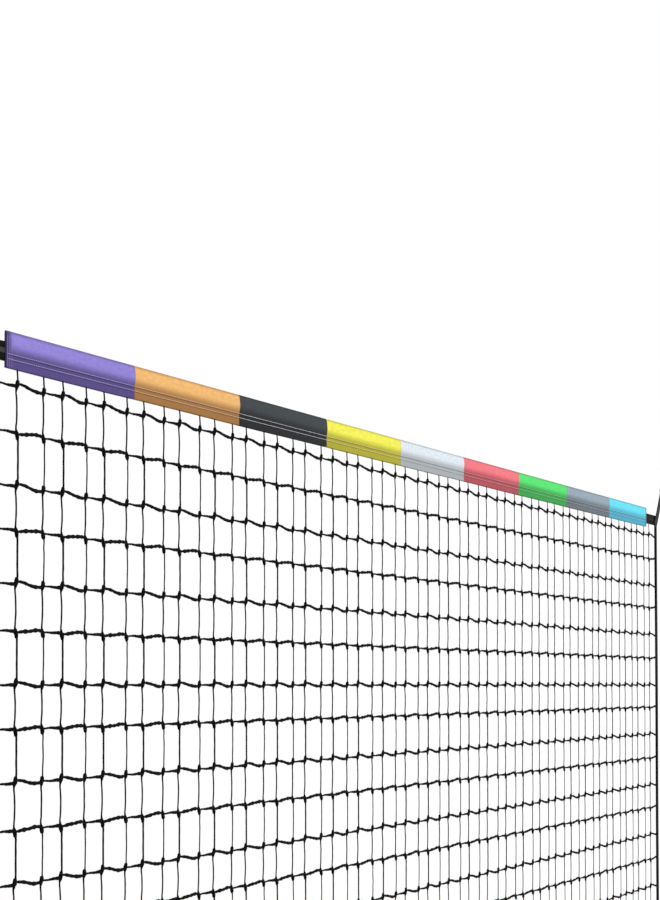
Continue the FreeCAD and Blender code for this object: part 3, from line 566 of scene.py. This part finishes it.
def band_path():
    low, crown = TOP - BAND_HIGH, TOP - BAND_CLOTH / 2
    front = [(0, BAND_CLOTH / 2 - out, low + h) for out, h in SWELL]
    front[-1] = (0, 0, crown)
    back = [(x, -y, z) for x, y, z in front[:-1]][::-1]
    points = np.array(front + back)
    points[:, 2] = np.minimum(points[:, 2], crown)
    return even(fillet(list(points), 1.2, 3), 1.4)


def band_shift(x0):
    """Slack in the cloth, little puckers over the stitches, and ends that are sewn down flat."""

    def shift(w, grid):
        x = x0 + w
        z = grid[..., 2]
        inwards = np.minimum(x + HALF + END_EXTRA, HALF - x)
        slack = np.clip(inwards / 45, 0, 1) ** 0.7
        low = np.clip((TOP - 23 - z) / 14, 0, 1)
        full = np.exp(-(((z - (TOP - 14.5)) / 9) ** 2))
        sewn = np.exp(-(((z - (TOP - 25.2)) / 4) ** 2))
        side = np.sign(grid[..., 1])
        out_of_middle = np.abs(grid[..., 1])
        sway = 0.3 * low * np.sin(x / 61.0 + 1.3) + 0.15 * low * np.sin(x / 23.0)
        pucker = 0.10 * sewn * np.sin(x / 3.3 + 2 * np.sin(x / 37)) + 0.18 * full * np.sin(x / 43.0 + 0.7)
        flat = (1 - slack) * np.maximum(out_of_middle - FLAT_OUT, 0)
        hem = 0.15 * ((inwards > 1.5) & (inwards < 15.2) & (out_of_middle > FLAT_OUT))
        out = np.zeros(grid.shape)
        out[..., 0] = -END_SKEW * np.clip(-grid[..., 1], 0, 1) * np.exp(-(x + HALF) / 30)
        out[..., 1] = slack * (sway + side * pucker) - side * flat + side * hem
        out[..., 2] = (0.12 * np.sin(x / 90.0) - 0.12 - 0.45 * x / HALF) * low
        return out

    return shift


PATH = band_path()
for n, colour in enumerate(COLOURS):
    x0 = -HALF + n * SECTION - (END_EXTRA if n == 0 else 0)
    wide = SECTION + (END_EXTRA if n == 0 else 0)
    hemmed = np.r_[HEM_PLACES, np.linspace(19, wide, 73)]
    places = np.linspace(0, wide, 77)
    if HEMS.get(colour) == "start":
        places = hemmed
    elif HEMS.get(colour) == "end":
        places = wide - hemmed[::-1]
    piece = ribbon("band_" + colour, PATH + np.array([x0, 0, 0]), (1, 0, 0), wide, BAND_CLOTH, places,
                   CLOTHS[colour], band_shift(x0), 1.0, False)
    stand_for(piece, colour + "_cloth", "headband_" + colour)

NEAR_END, FAR_END = -HALF - END_EXTRA, HALF
seams = []
for side in (-1, 1):
    for drop, out in zip(STITCH_DROPS, (2.2, 2.25)):
        y, z = side * out, TOP - drop
        seams.append(((NEAR_END + 1, y, z), (FAR_END - 1, y, z), (0, side, 0)))
stand_for(stitches("band_stitches", seams, 4.0, 3.7, 0.38, THREAD), "white_cloth")
seams = []
for side in (-1, 1):
    for end, way in ((NEAR_END, 1), (FAR_END, -1)):
        for row, out in HEM_ROWS:
            x = end + way * row - (END_SKEW * math.exp(-row / 30) if side < 0 and way > 0 else 0)
            seams.append(((x, side * out, TOP - 36.4), (x, side * out, TOP - 3), (0, side, 0)))
stand_for(stitches("hem_stitches", seams, 2.4, 2.15, 0.3, THREAD_HEM), "white_cloth")

# The belt through the band, and the bindings round the net

OUTER = TAPE_X + WEB_WIDE / 2
INNER = OUTER - TAPE_WIDE
TAPE_LOW, TAPE_TALL = 104.0, TOP - 11.3 - 104
ends = np.array([FOLD_X, FOLD_X - 4, INNER + 2, INNER - 1, INNER - 5])
x = np.r_[-ends, np.linspace(-INNER + 10, INNER - 10, 241), ends[::-1]]
belt = np.stack([x, 0 * x, 0 * x + WEB_Z], 1)
stand_for(ribbon("belt", belt, (0, 0, 1), WEB_WIDE, THIN, 8, BELT), "webbing", "headline_webbing")


def folded(open_end, outside):
    """The U of a binding, as (away from its open end, out) points of its middle line."""
    r, fold = TAPE_HALF - TAPE_CLOTH / 2, outside - TAPE_HALF
    arc = [(fold + r * math.cos(a), r * math.sin(a)) for a in np.linspace(-math.pi / 2, math.pi / 2, 11)]
    return [(open_end, -r)] + arc + [(open_end, r)]


def ripple(w, grid):
    """A side tape's slight waves along its height."""
    out = np.zeros(grid.shape)
    out[..., 0] = 0.2 * np.sin(w / 70)
    out[..., 1] = 0.2 * np.sin(w / 97)
    return out


for side, word in SIDES:
    pts = [(side * a, b, TAPE_LOW) for a, b in folded(INNER, OUTER)]
    tape = ribbon("tape_" + word, even(pts, 0.8), (0, 0, 1), TAPE_TALL, TAPE_CLOTH, 70, BINDING, ripple, 1.0,
                  False)
    stand_for(tape, "binding", "side_tape_" + word)
pts = [(-OUTER, b, HEM_Z + WEB_WIDE / 2 - a) for a, b in folded(0, WEB_WIDE)]
hem = ribbon("hem", even(pts, 0.9), (1, 0, 0), 2 * OUTER, TAPE_CLOTH, 160, BINDING, None, 1.0, False)
stand_for(hem, "binding", "bottom_tape")
seams = []
for face in (-1, 1):
    y = face * (TAPE_HALF + 0.05)
    for side in (-1, 1):
        x = side * (INNER + 2.6)
        seams.append(((x, y, TAPE_LOW + 2), (x, y, TOP - 14), (0, face, 0)))
    seams.append(((-OUTER + 2, y, HEM_Z + 7), (OUTER - 2, y, HEM_Z + 7), (0, face, 0)))
stand_for(stitches("tape_stitches", seams, 4.4, 3.4, 0.36, THREAD_DARK, 5), "binding")

# The net

# Each row's drop from the top in measured cells, and where the uprights stand in each pattern of four
ROW_TOP, ROW_CELL = 913.64, 50.53
ROWS = (1.052, 1.99, 3.056, 3.938, 5.004, 5.946, 7.01, 7.895, 8.959, 9.902, 10.967, 11.86, 12.93, 13.89,
        14.96)
FIRST_STRAND, PATTERN, GAPS = -1387.9, 202.956, (0.0, 43.76, 102.96, 147.0)
STRANDS = np.array([FIRST_STRAND + PATTERN * (n // 4) + GAPS[n % 4] for n in range(56)])
HEIGHTS = ROW_TOP - ROW_CELL * np.array(ROWS)
NET_HIGH, NET_LOW = TOP - 31.2, 102.0
# Where each twine runs between its knots, over the row's own height, and how thick it is
PLACES = (0, 0.12, 0.3, 0.5, 0.7, 0.88, 1)
SAG = {"thick_a": (2.2, 2.4, 1.4, -0.5, -1.9, -1.9, -1.1),
       "thin_a": (-0.3, -0.15, -0.35, -0.45, -0.35, -0.3, -0.2),
       "thick_b": (-1.2, -1.0, -0.1, 0.6, 1.55, 1.5, 0.6),
       "thin_b": (-0.3, -0.2, 0.1, 0.1, 0.0, 0.0, -0.2)}
GIRTH = {"thick_a": (1.3, 1.4, 1.9, 1.8, 2.15, 1.8, 1.5),
         "thin_a": (1.4, 1.1, 1.15, 1.4, 1.7, 2.1, 1.8),
         "thick_b": (1.5, 1.5, 2.2, 1.75, 2.15, 1.75, 1.5),
         "thin_b": (1.4, 1.1, 1.15, 1.45, 1.75, 2.05, 1.8)}
# Each kind of knot: its middle over the row's height, how tall it is and how far it leans
KNOTS = {"a_first": (0.6, 11.0, -5.5), "a_second": (-0.4, 9.8, -3.6), "b_first": (-1.5, 10.8, 4.8),
         "b_second": (-0.7, 10.0, 4.4)}
# How thick a knot's core is from its top to its foot, in each kind of row
CORES = {"a": (2.5, 3.3, 3.4, 2.6, 1.3), "b": (1.3, 2.4, 3.4, 3.3, 2.3)}
# An upright's own thickness where it hangs straight, and where it bows
SLIM, SLIM_BOWED = 1.65, (1.4, 1.95)
STEPS = np.array([0.05, 0.1, 0.16, 0.25, 0.38, 0.5, 0.62, 0.75, 0.84, 0.9, 0.95, 1.0])


def row_kind(row):
    return "ab"[row % 2]


def knot_kind(column, row):
    """Columns are counted from the first strand. Thick twine leaves the first of two knots."""
    return KNOTS[row_kind(row) + ("_first" if column % 2 == 1 else "_second")]


def knot_height(column, row):
    return HEIGHTS[row] + knot_kind(column, row)[0]


def leaning(column, row, away):
    """How far an upright's line is pulled aside at a height over the knot's middle."""
    _, tall, lean = knot_kind(column, row)
    return -lean * away / tall * np.exp(-((away / (0.8 * tall)) ** 2))


uprights, thick, thin, knots = [], [], [], []
for column, x in enumerate(STRANDS):
    heights = [NET_HIGH] + [knot_height(column, row) for row in range(len(ROWS))] + [NET_LOW]
    points, radii = [(x, 0, NET_HIGH)], [SLIM]
    for gap, (above, below) in enumerate(zip(heights, heights[1:])):
        whole = above - below
        bowed = gap % 2 == 0 and 0 < gap < len(ROWS)
        bulge = 0.06 * CELL if bowed else 0.0
        slim = SLIM_BOWED[column % 2] if bowed else SLIM
        for t in STEPS:
            swell, aside = slim, bulge * math.sin(math.pi * t)
            if gap < len(ROWS):
                swell += 0.9 * math.exp(-(((1 - t) * whole / 4.0) ** 2))
                aside += leaning(column, gap, (1 - t) * whole)
            if gap:
                swell += 0.7 * math.exp(-((t * whole / 5.0) ** 2))
                aside += leaning(column, gap - 1, -t * whole)
            points.append((x + aside + RNG.normal(0, 0.06), RNG.normal(0, 0.06), above - whole * t))
            radii.append(swell)
    uprights.append((points, radii, np.arange(len(points)) * 1.3, 0.05))

edges = [-FOLD_X + 4] + list(STRANDS) + [FOLD_X - 4]
for row in range(len(ROWS)):
    kind = row_kind(row)
    for n, (left, right) in enumerate(zip(edges, edges[1:])):
        heavy = n % 2 == 0
        form = ("thick_" if heavy else "thin_") + kind
        t = np.linspace(0, 1, max(12, round((right - left) / 2.2)))
        z = HEIGHTS[row] + np.interp(t, PLACES, SAG[form])
        z[1:-1] = (z[:-2] + 2 * z[1:-1] + z[2:]) / 4
        z = z + 0.25 * np.sin(t * 9 + RNG.uniform(0, 6)) * np.sin(np.pi * t)
        y = (0.8 if heavy else 0.2) * np.sin(np.pi * t) * (-1 if heavy else 1)
        girth = np.interp(t, PLACES, GIRTH[form]) * (1 + 0.04 * np.sin(t * 15 + RNG.uniform(0, 6)))
        path = np.stack([left + (right - left) * t, y, z], 1)
        girth = girth * np.interp(np.abs(path[:, 0]), (INNER - 7, INNER), (1, 0.3))
        lay = (right - left) * t * 2 * np.pi
        if heavy:
            thick.append((path, girth, lay / 22.0 + n, 0.1 if kind == "a" else 0.18))
        else:
            thin.append((path, girth, lay / 16.0 + n, 0.08))

for row in range(len(ROWS)):
    for column, x in enumerate(STRANDS):
        z = knot_height(column, row)
        tall = knot_kind(column, row)[1]
        t = np.linspace(0, 1, 7)
        rise = tall * (0.5 - t)
        core = np.interp(t, (0, 0.22, 0.5, 0.78, 1), CORES[row_kind(row)])
        jitter = RNG.normal(0, 0.1, (7, 3))
        aside = x + leaning(column, row, rise)
        knots.append((np.stack([aside, 0 * t, z + rise], 1) + jitter, core, t * 4 + column, 0.08))
        # The loops round the core
        turns = np.linspace(0, 3.6 * np.pi, 15) + RNG.uniform(0, 1.5)
        t = np.linspace(0, 1, 15)
        rise = (tall - 4.2) * (0.5 - t)
        size = np.interp(t, (0, 0.3, 0.7, 1), (1.2, 2.6, 2.5, 1.1))
        aside = x + leaning(column, row, rise)
        path = np.stack([aside + size * np.cos(turns), 0.45 * size * np.sin(turns), z + rise], 1)
        knots.append((path, np.interp(t, (0, 0.1, 0.9, 1), (0.6, 1.15, 1.15, 0.6)), np.zeros(15), 0.0))

stand_for(lofts("net_uprights", uprights, 8, TWINE, 0.33), "twine", "net_mesh")
stand_for(lofts("net_twine", thick, 8, TWINE, 0.6), "twine")
stand_for(lofts("net_links", thin, 8, TWINE, 0.6), "twine")
stand_for(lofts("net_knots", knots, 5, TWINE, 0.6), "twine")

# Corner straps, anchor straps and buckle tabs

def around(centre, size, start, end, steps=22):
    """Points round a circle in a plane, from an angle to an angle."""
    cx, cy = centre
    return [(cx + size * math.cos(a), cy + size * math.sin(a)) for a in np.linspace(start, end, steps)]


# A corner strap lies on the tape for a stretch either way, and a box of stitches holds it there
ON_TAPE, BOX_LONG, BOX_WIDE = 15, 12, 8
HALF_WEB = WEB_THICK / 2
LAP, SEWN = RUN - STRAP_LOOP - STRAP_STITCH, RUN - STRAP_LOOP
corner = [(-ON_TAPE, -TAPE_HALF - THIN / 2), (ON_TAPE, -TAPE_HALF - THIN / 2)]
corner += [(LAP, -THIN / 2), (SEWN, -THIN / 2)]
bend = around((RUN, 0), HORN_R + CLOTH_GAP + THIN / 2, -math.pi * 0.62, math.pi * 0.62)
loop = corner + bend + [(SEWN, THIN / 2 + 0.05), (LAP, THIN / 2 + 0.05)]
for side, word in SIDES:
    along = np.array([side * math.cos(STRAP_ANGLE), 0, math.sin(STRAP_ANGLE)])
    square = np.array([-side * math.sin(STRAP_ANGLE), 0, math.cos(STRAP_ANGLE)])
    start = np.array([side * TAPE_X, 0, WEB_Z])
    path = [start + along * s + np.array([0, y, 0]) for s, y in loop]
    piece = ribbon("corner_" + word, even(fillet(path, 6, 4), 1.5), square, WEB_WIDE, THIN, 8, STRAP)
    stand_for(piece, "strap", "corner_strap_" + word)
    # Across the lap of the loop, then a box through the tape, as (from, to, y) on the strap's own plane
    lap_y, box_y = (-THIN - 0.1, THIN + 0.15), -TAPE_HALF - THIN - 0.1
    lines = [((s, -BOX_WIDE), (s, BOX_WIDE), y) for s in (LAP + 2, SEWN - 2) for y in lap_y]
    lines += [((s, -BOX_WIDE), (s, BOX_WIDE), box_y) for s in (-BOX_LONG, BOX_LONG)]
    lines += [((-BOX_LONG, w), (BOX_LONG, w), box_y) for w in (-BOX_WIDE, BOX_WIDE)]
    rows = []
    for (s0, w0), (s1, w1), y in lines:
        a, b = (start + along * s + square * w + np.array([0, y, 0]) for s, w in ((s0, w0), (s1, w1)))
        rows.append((a, b, (0, math.copysign(1, y), 0)))
    stand_for(stitches("corner_stitches_" + word, rows, 2.4, 2.0, 0.32, THREAD_DARK, 5), "strap")

    lead = [(TAPE_X - 8, -TAPE_HALF - HALF_WEB), (TAPE_X + 12, -TAPE_HALF - HALF_WEB)]
    bend = around((WRAP_X, 0), WRAP_IN + HALF_WEB, -math.pi * 0.42, math.pi / 2, 30)
    path = [(side * x, y, HEM_Z) for x, y in lead + bend + [(PIN_X - STRAP_TAIL, WRAP_IN + HALF_WEB)]]
    piece = ribbon("anchor_" + word, even(fillet(path, 5, 4), 1.5), (0, 0, 1), WEB_WIDE, WEB_THICK, 8, STRAP)
    stand_for(piece, "strap", "anchor_strap_" + word)
    bar = (PIN_X - BAR_BACK, WRAP_IN - BAR_DROP)
    bend = around(bar, 1.65 + HALF_WEB, -math.pi * 0.35, math.pi * 0.75, 16)
    near, far = TAPE_HALF + HALF_WEB, TAPE_HALF + 2.8
    tab = [(TAPE_X - 9, near), (TAPE_X + 8, near)] + bend + [(TAPE_X + 7, far), (TAPE_X - 9, far)]
    path = [(side * x, y, HEM_Z) for x, y in tab]
    piece = ribbon("tab_" + word, even(fillet(path, 2, 4), 1.2), (0, 0, 1), WEB_WIDE, WEB_THICK, 8, STRAP)
    stand_for(piece, "strap", "buckle_tab_" + word)


# Small parts of the frame

# A closed ring of tube runs on a little past its start
FULL_TURN = 2 * math.pi + 0.05


def ring(centre, axis, size, start=0.0, end=FULL_TURN, steps=40):
    """Points round a circle about an axis, from an angle to an angle."""
    axis = unit(np.asarray(axis, float))
    a = unit(np.cross(axis, (0, 1, 0)) if abs(axis[1]) < 0.9 else np.array([1.0, 0, 0]))
    b = np.cross(axis, a)
    turn = np.linspace(start, end, steps)[:, None]
    return np.asarray(centre, float) + size * (np.cos(turn) * a + np.sin(turn) * b)


def plain(path, radii):
    """A run of round tube for lofts, with no twist."""
    return path, radii, np.zeros(len(path)), 0.0


def lathe(name, rings, mat):
    """A closed body turned about upright axes. A ring is its centre, height and radius, or a hexagon's flats
    when the radius is negative. None ends one body and starts the next."""
    verts, faces, last, sides = [], [], None, 48
    angle = 2 * np.pi * np.arange(sides) / sides
    hexagon = np.cos((angle + np.pi / 6) % (np.pi / 3) - np.pi / 6)
    pairs = [(k, (k + 1) % sides) for k in range(sides)]
    for item in rings:
        if item is None:
            faces.append(list(range(last, last + sides)))
            last = None
            continue
        (x, y), z, size = item
        radii = np.full(sides, size) if size >= 0 else -size / 2 / hexagon
        start = len(verts)
        verts += [(x + r * math.cos(a), y + r * math.sin(a), z) for r, a in zip(radii, angle)]
        if last is None:
            faces.append(list(range(start, start + sides))[::-1])
        else:
            faces += [(last + k, last + n, start + n, start + k) for k, n in pairs]
        last = start
    return build(name, verts, faces, mat, smooth=False)


# A bolt as heights and radii: its shank from the nut up, its domed head and the hexagonal socket in it
NUT_LOW, HEAD_Z = FOOT_Z - TUBE_R - TUBE_GAP - 7.5, RAIL_Z + TUBE_R + TUBE_GAP
RIM_Z = HEAD_Z + 1.1
shape = [(NUT_LOW, 3.3), (NUT_LOW + 0.7, 4.0), (HEAD_Z, 4.0), (HEAD_Z, 7.2), (HEAD_Z + 0.3, 7.5),
         (RIM_Z, 7.5)]
shape += [(RIM_Z + 3.3 * math.sin(a), 3.6 + 3.9 * math.cos(a)) for a in np.linspace(0.15, math.pi / 2, 9)]
shape += [(HEAD_Z + 4.3, -5.4), (HEAD_Z + 1.6, -5.0), (HEAD_Z + 1.2, 0.4)]
rings = []
for side in (-1, 1):
    rings += [((side * FOOT_X, 0), z, size) for z, size in shape] + [None]
bolts = lathe("swivel_bolt_pair", rings, ZINC)
stand_for(bolts, "zinc_steel", "swivel_bolts")

# Rims as how far along their tube they lie, how wide they are and how thick, and the ribs' places on a foot
FERRULE_RIM, MOUTH_RIM = (44.6, 7.9, 0.5), (61.4, 9.35, 0.65)
BOOT_RIBS = (279.2, 284.5, 289.8)
# A lever's grips, as x from its pin and y from the pin's height
GRIPS = ((-15.5, 3.95), (-17.7, 4.0), (-19.9, 4.05))
for side, word in SIDES:
    beads = []
    for way in (-1, 1):
        y = np.linspace(-8.7, 8.7, 45)
        z = way * (np.sqrt(TUBE_R**2 - y**2) + 0.3)
        x = SOCKET_X + z * tand(POLE_LEAN) - np.sqrt(SOCKET_R**2 - y**2) - 0.4
        pulse = 1.25 + 0.3 * np.abs(np.sin(np.arange(45) * 0.62))
        pulse[[0, -1]] = 0.5
        beads.append(plain(np.stack([side * x, y, RAIL_Z + z], 1), pulse))
    stand_for(lofts("weld_" + word, beads, 8, COAT), "coated_steel")
    rims = []
    axis = (side * sind(SPLIT_LEAN), 0, cosd(SPLIT_LEAN))
    far, size, girth = FERRULE_RIM
    for way in (-1, 1):
        away = way * far
        centre = (side * (SPLIT[0] + away * sind(SPLIT_LEAN)), 0, SPLIT[1] + away * cosd(SPLIT_LEAN))
        rims.append(plain(ring(centre, axis, size), np.full(40, girth)))
    axis = (side * sind(POLE_LEAN), 0, cosd(POLE_LEAN))
    far, size, girth = MOUTH_RIM
    mouth = (side * (SOCKET_X + far * sind(POLE_LEAN)), 0, RAIL_Z + far * cosd(POLE_LEAN))
    rims.append(plain(ring(mouth, axis, size), np.full(40, girth)))
    stand_for(lofts("rims_" + word, rims, 8, COAT), "coated_steel")
    ribs = []
    for far in (-1, 1):
        for y in BOOT_RIBS:
            z = SOLE + TUBE_R / cosd(FOOT_SLOPE) + (FOOT_HALF - y) * tand(FOOT_SLOPE)
            turn = ring((side * FOOT_X, far * y, z), (0, 1, 0), 15.75, -0.2, math.pi + 0.2, 33)
            if turn[16, 2] < z:
                turn[:, 2] = 2 * z - turn[:, 2]
            ribs.append(plain(turn, np.r_[0.3, np.full(31, 0.85), 0.3]))
    stand_for(lofts("boot_ribs_" + word, ribs, 8, RUBBER), "boot_rubber", body="foot_" + word)
    grips = []
    for x, y in GRIPS:
        centre = np.array([side * (PIN_X + x), WRAP_IN + PIN_RISE + y, HEM_Z])
        rod = centre + np.array([0, 0, 1.0]) * np.linspace(-9, 9, 7)[:, None]
        grips.append(plain(rod, np.array([0.3, 0.55, 0.6, 0.6, 0.6, 0.55, 0.3])))
    stand_for(lofts("lever_grips_" + word, grips, 8, MOULD), "moulding", body="lever_" + word)

# The folded leaf behind each snap button, which stands in for its spring

for word in ("left", "middle", "right"):
    low, high = (np.array(corner) * 1000 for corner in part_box("button_spring_" + word))
    start, end = (np.array(corner) * 1000 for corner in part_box("snap_button_" + word))
    way, at = -1 if word == "left" else 1, (start[0] + end[0]) / 2
    far = abs((low if way < 0 else high)[0] - at)
    under, over = low[2] + LEAF_THICK / 2, high[2] - LEAF_THICK / 2
    bend = around((far - 2.6, (low[2] + high[2]) / 2), 2.3, -math.radians(83), math.radians(80), 14)
    line = [(-BUTTON_D, under)] + bend + [(BUTTON_D, over), (-4.6, over)]
    path = [(at + way * x, 0, z) for x, z in line]
    leaf = ribbon("button_leaf_" + word, even(path, 1.0), (0, 1, 0), LEAF_WIDE, LEAF_THICK, 2, ZINC)
    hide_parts("button_spring_" + word)
    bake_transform(leaf)


# Floor, light and camera

def floor_material():
    """A pale floor that goes over into white far from the net, outside the shadows."""
    m = Material("floor_pale")
    x, y, _ = m.parts(m.place())
    squared = m.math("ADD", m.math("POWER", x, 2.0), m.math("POWER", m.math("DIVIDE", y, 0.6), 2.0))
    fade = m.ramp(m.math("SQRT", squared), 2.1, 3.2, 0, 1, True)
    speck = m.noise(m.place(), 350, 3)
    m.finish(Base_Color=m.mix(m.ramp(speck, 0.3, 0.7), [0.84] * 3, [0.88] * 3), Roughness=0.9)
    glow = m.node("Emission", Color=[1, 1, 1], Strength=1.0).outputs[0]
    white = m.math("MULTIPLY", fade, m.seen())
    mixed = m.node("MixShader", i0=white, i1=m.shader.outputs[0], i2=glow)
    m.tree.links.new(mixed.outputs[0], m.output.inputs[0])
    return m.mat


def sun(name, towards, strength, spread):
    data = bpy.data.lights.new(name, "SUN")
    data.energy, data.angle = strength, math.radians(spread)
    made = bpy.data.objects.new(name, data)
    made.rotation_mode = "QUATERNION"
    made.rotation_quaternion = Vector(towards).to_track_quat("-Z", "Y")
    bpy.context.scene.collection.objects.link(made)


FLOOR_HALF = 60000.0
corners = [(x * FLOOR_HALF, y * FLOOR_HALF, 0) for x, y in ((-1, -1), (1, -1), (1, 1), (-1, 1))]
ground = build("floor", corners, [(0, 1, 2, 3)], floor_material())

world = bpy.data.worlds.new("studio")
bpy.context.scene.world = world
world.use_nodes = True
world.node_tree.nodes.clear()
sky = Nodes(world.node_tree)
# White where it shows, and the plain level of light elsewhere
level = sky.ramp(sky.seen(), 0.0, 1.0, 0.62, 1.0)
sky.node("OutputWorld", Surface=sky.node("Background", Color=[1, 1, 1], Strength=level).outputs[0])

sun("key", (0.55, 0.9, -0.75), 1.5, 20)
sun("fill", (-0.6, -0.7, -0.8), 0.7, 40)

# The camera, in metres and degrees. Its horizon and focal length are in pixels of a frame 900 pixels high.
EYE, YAW, PITCH = (-3.64828, -1.19514, 0.55908), 20.4241, 2.6006
FRAME_HIGH, FOCAL, HORIZON, SENSOR = 900, 2563.55, 568.6, 36
yaw, pitch = math.radians(YAW), math.radians(PITCH)
forward = Vector((math.cos(pitch) * math.cos(yaw), math.cos(pitch) * math.sin(yaw), math.sin(pitch)))
right = Vector((math.sin(yaw), -math.cos(yaw), 0))
up = right.cross(forward)
data = bpy.data.cameras.new("camera")
camera = bpy.data.objects.new("camera", data)
bpy.context.scene.collection.objects.link(camera)
bpy.context.scene.camera = camera
turn = Matrix((right, up, -forward)).transposed().to_4x4()
camera.matrix_world = Matrix.Translation(EYE) @ turn
data.sensor_width = SENSOR
data.lens = FOCAL / FRAME_HIGH * SENSOR
data.shift_y = (HORIZON - FRAME_HIGH / 2) / FRAME_HIGH
data.clip_start, data.clip_end = 0.05, 200

bpy.context.scene.view_settings.view_transform = "Standard"
bpy.context.view_layer.update()
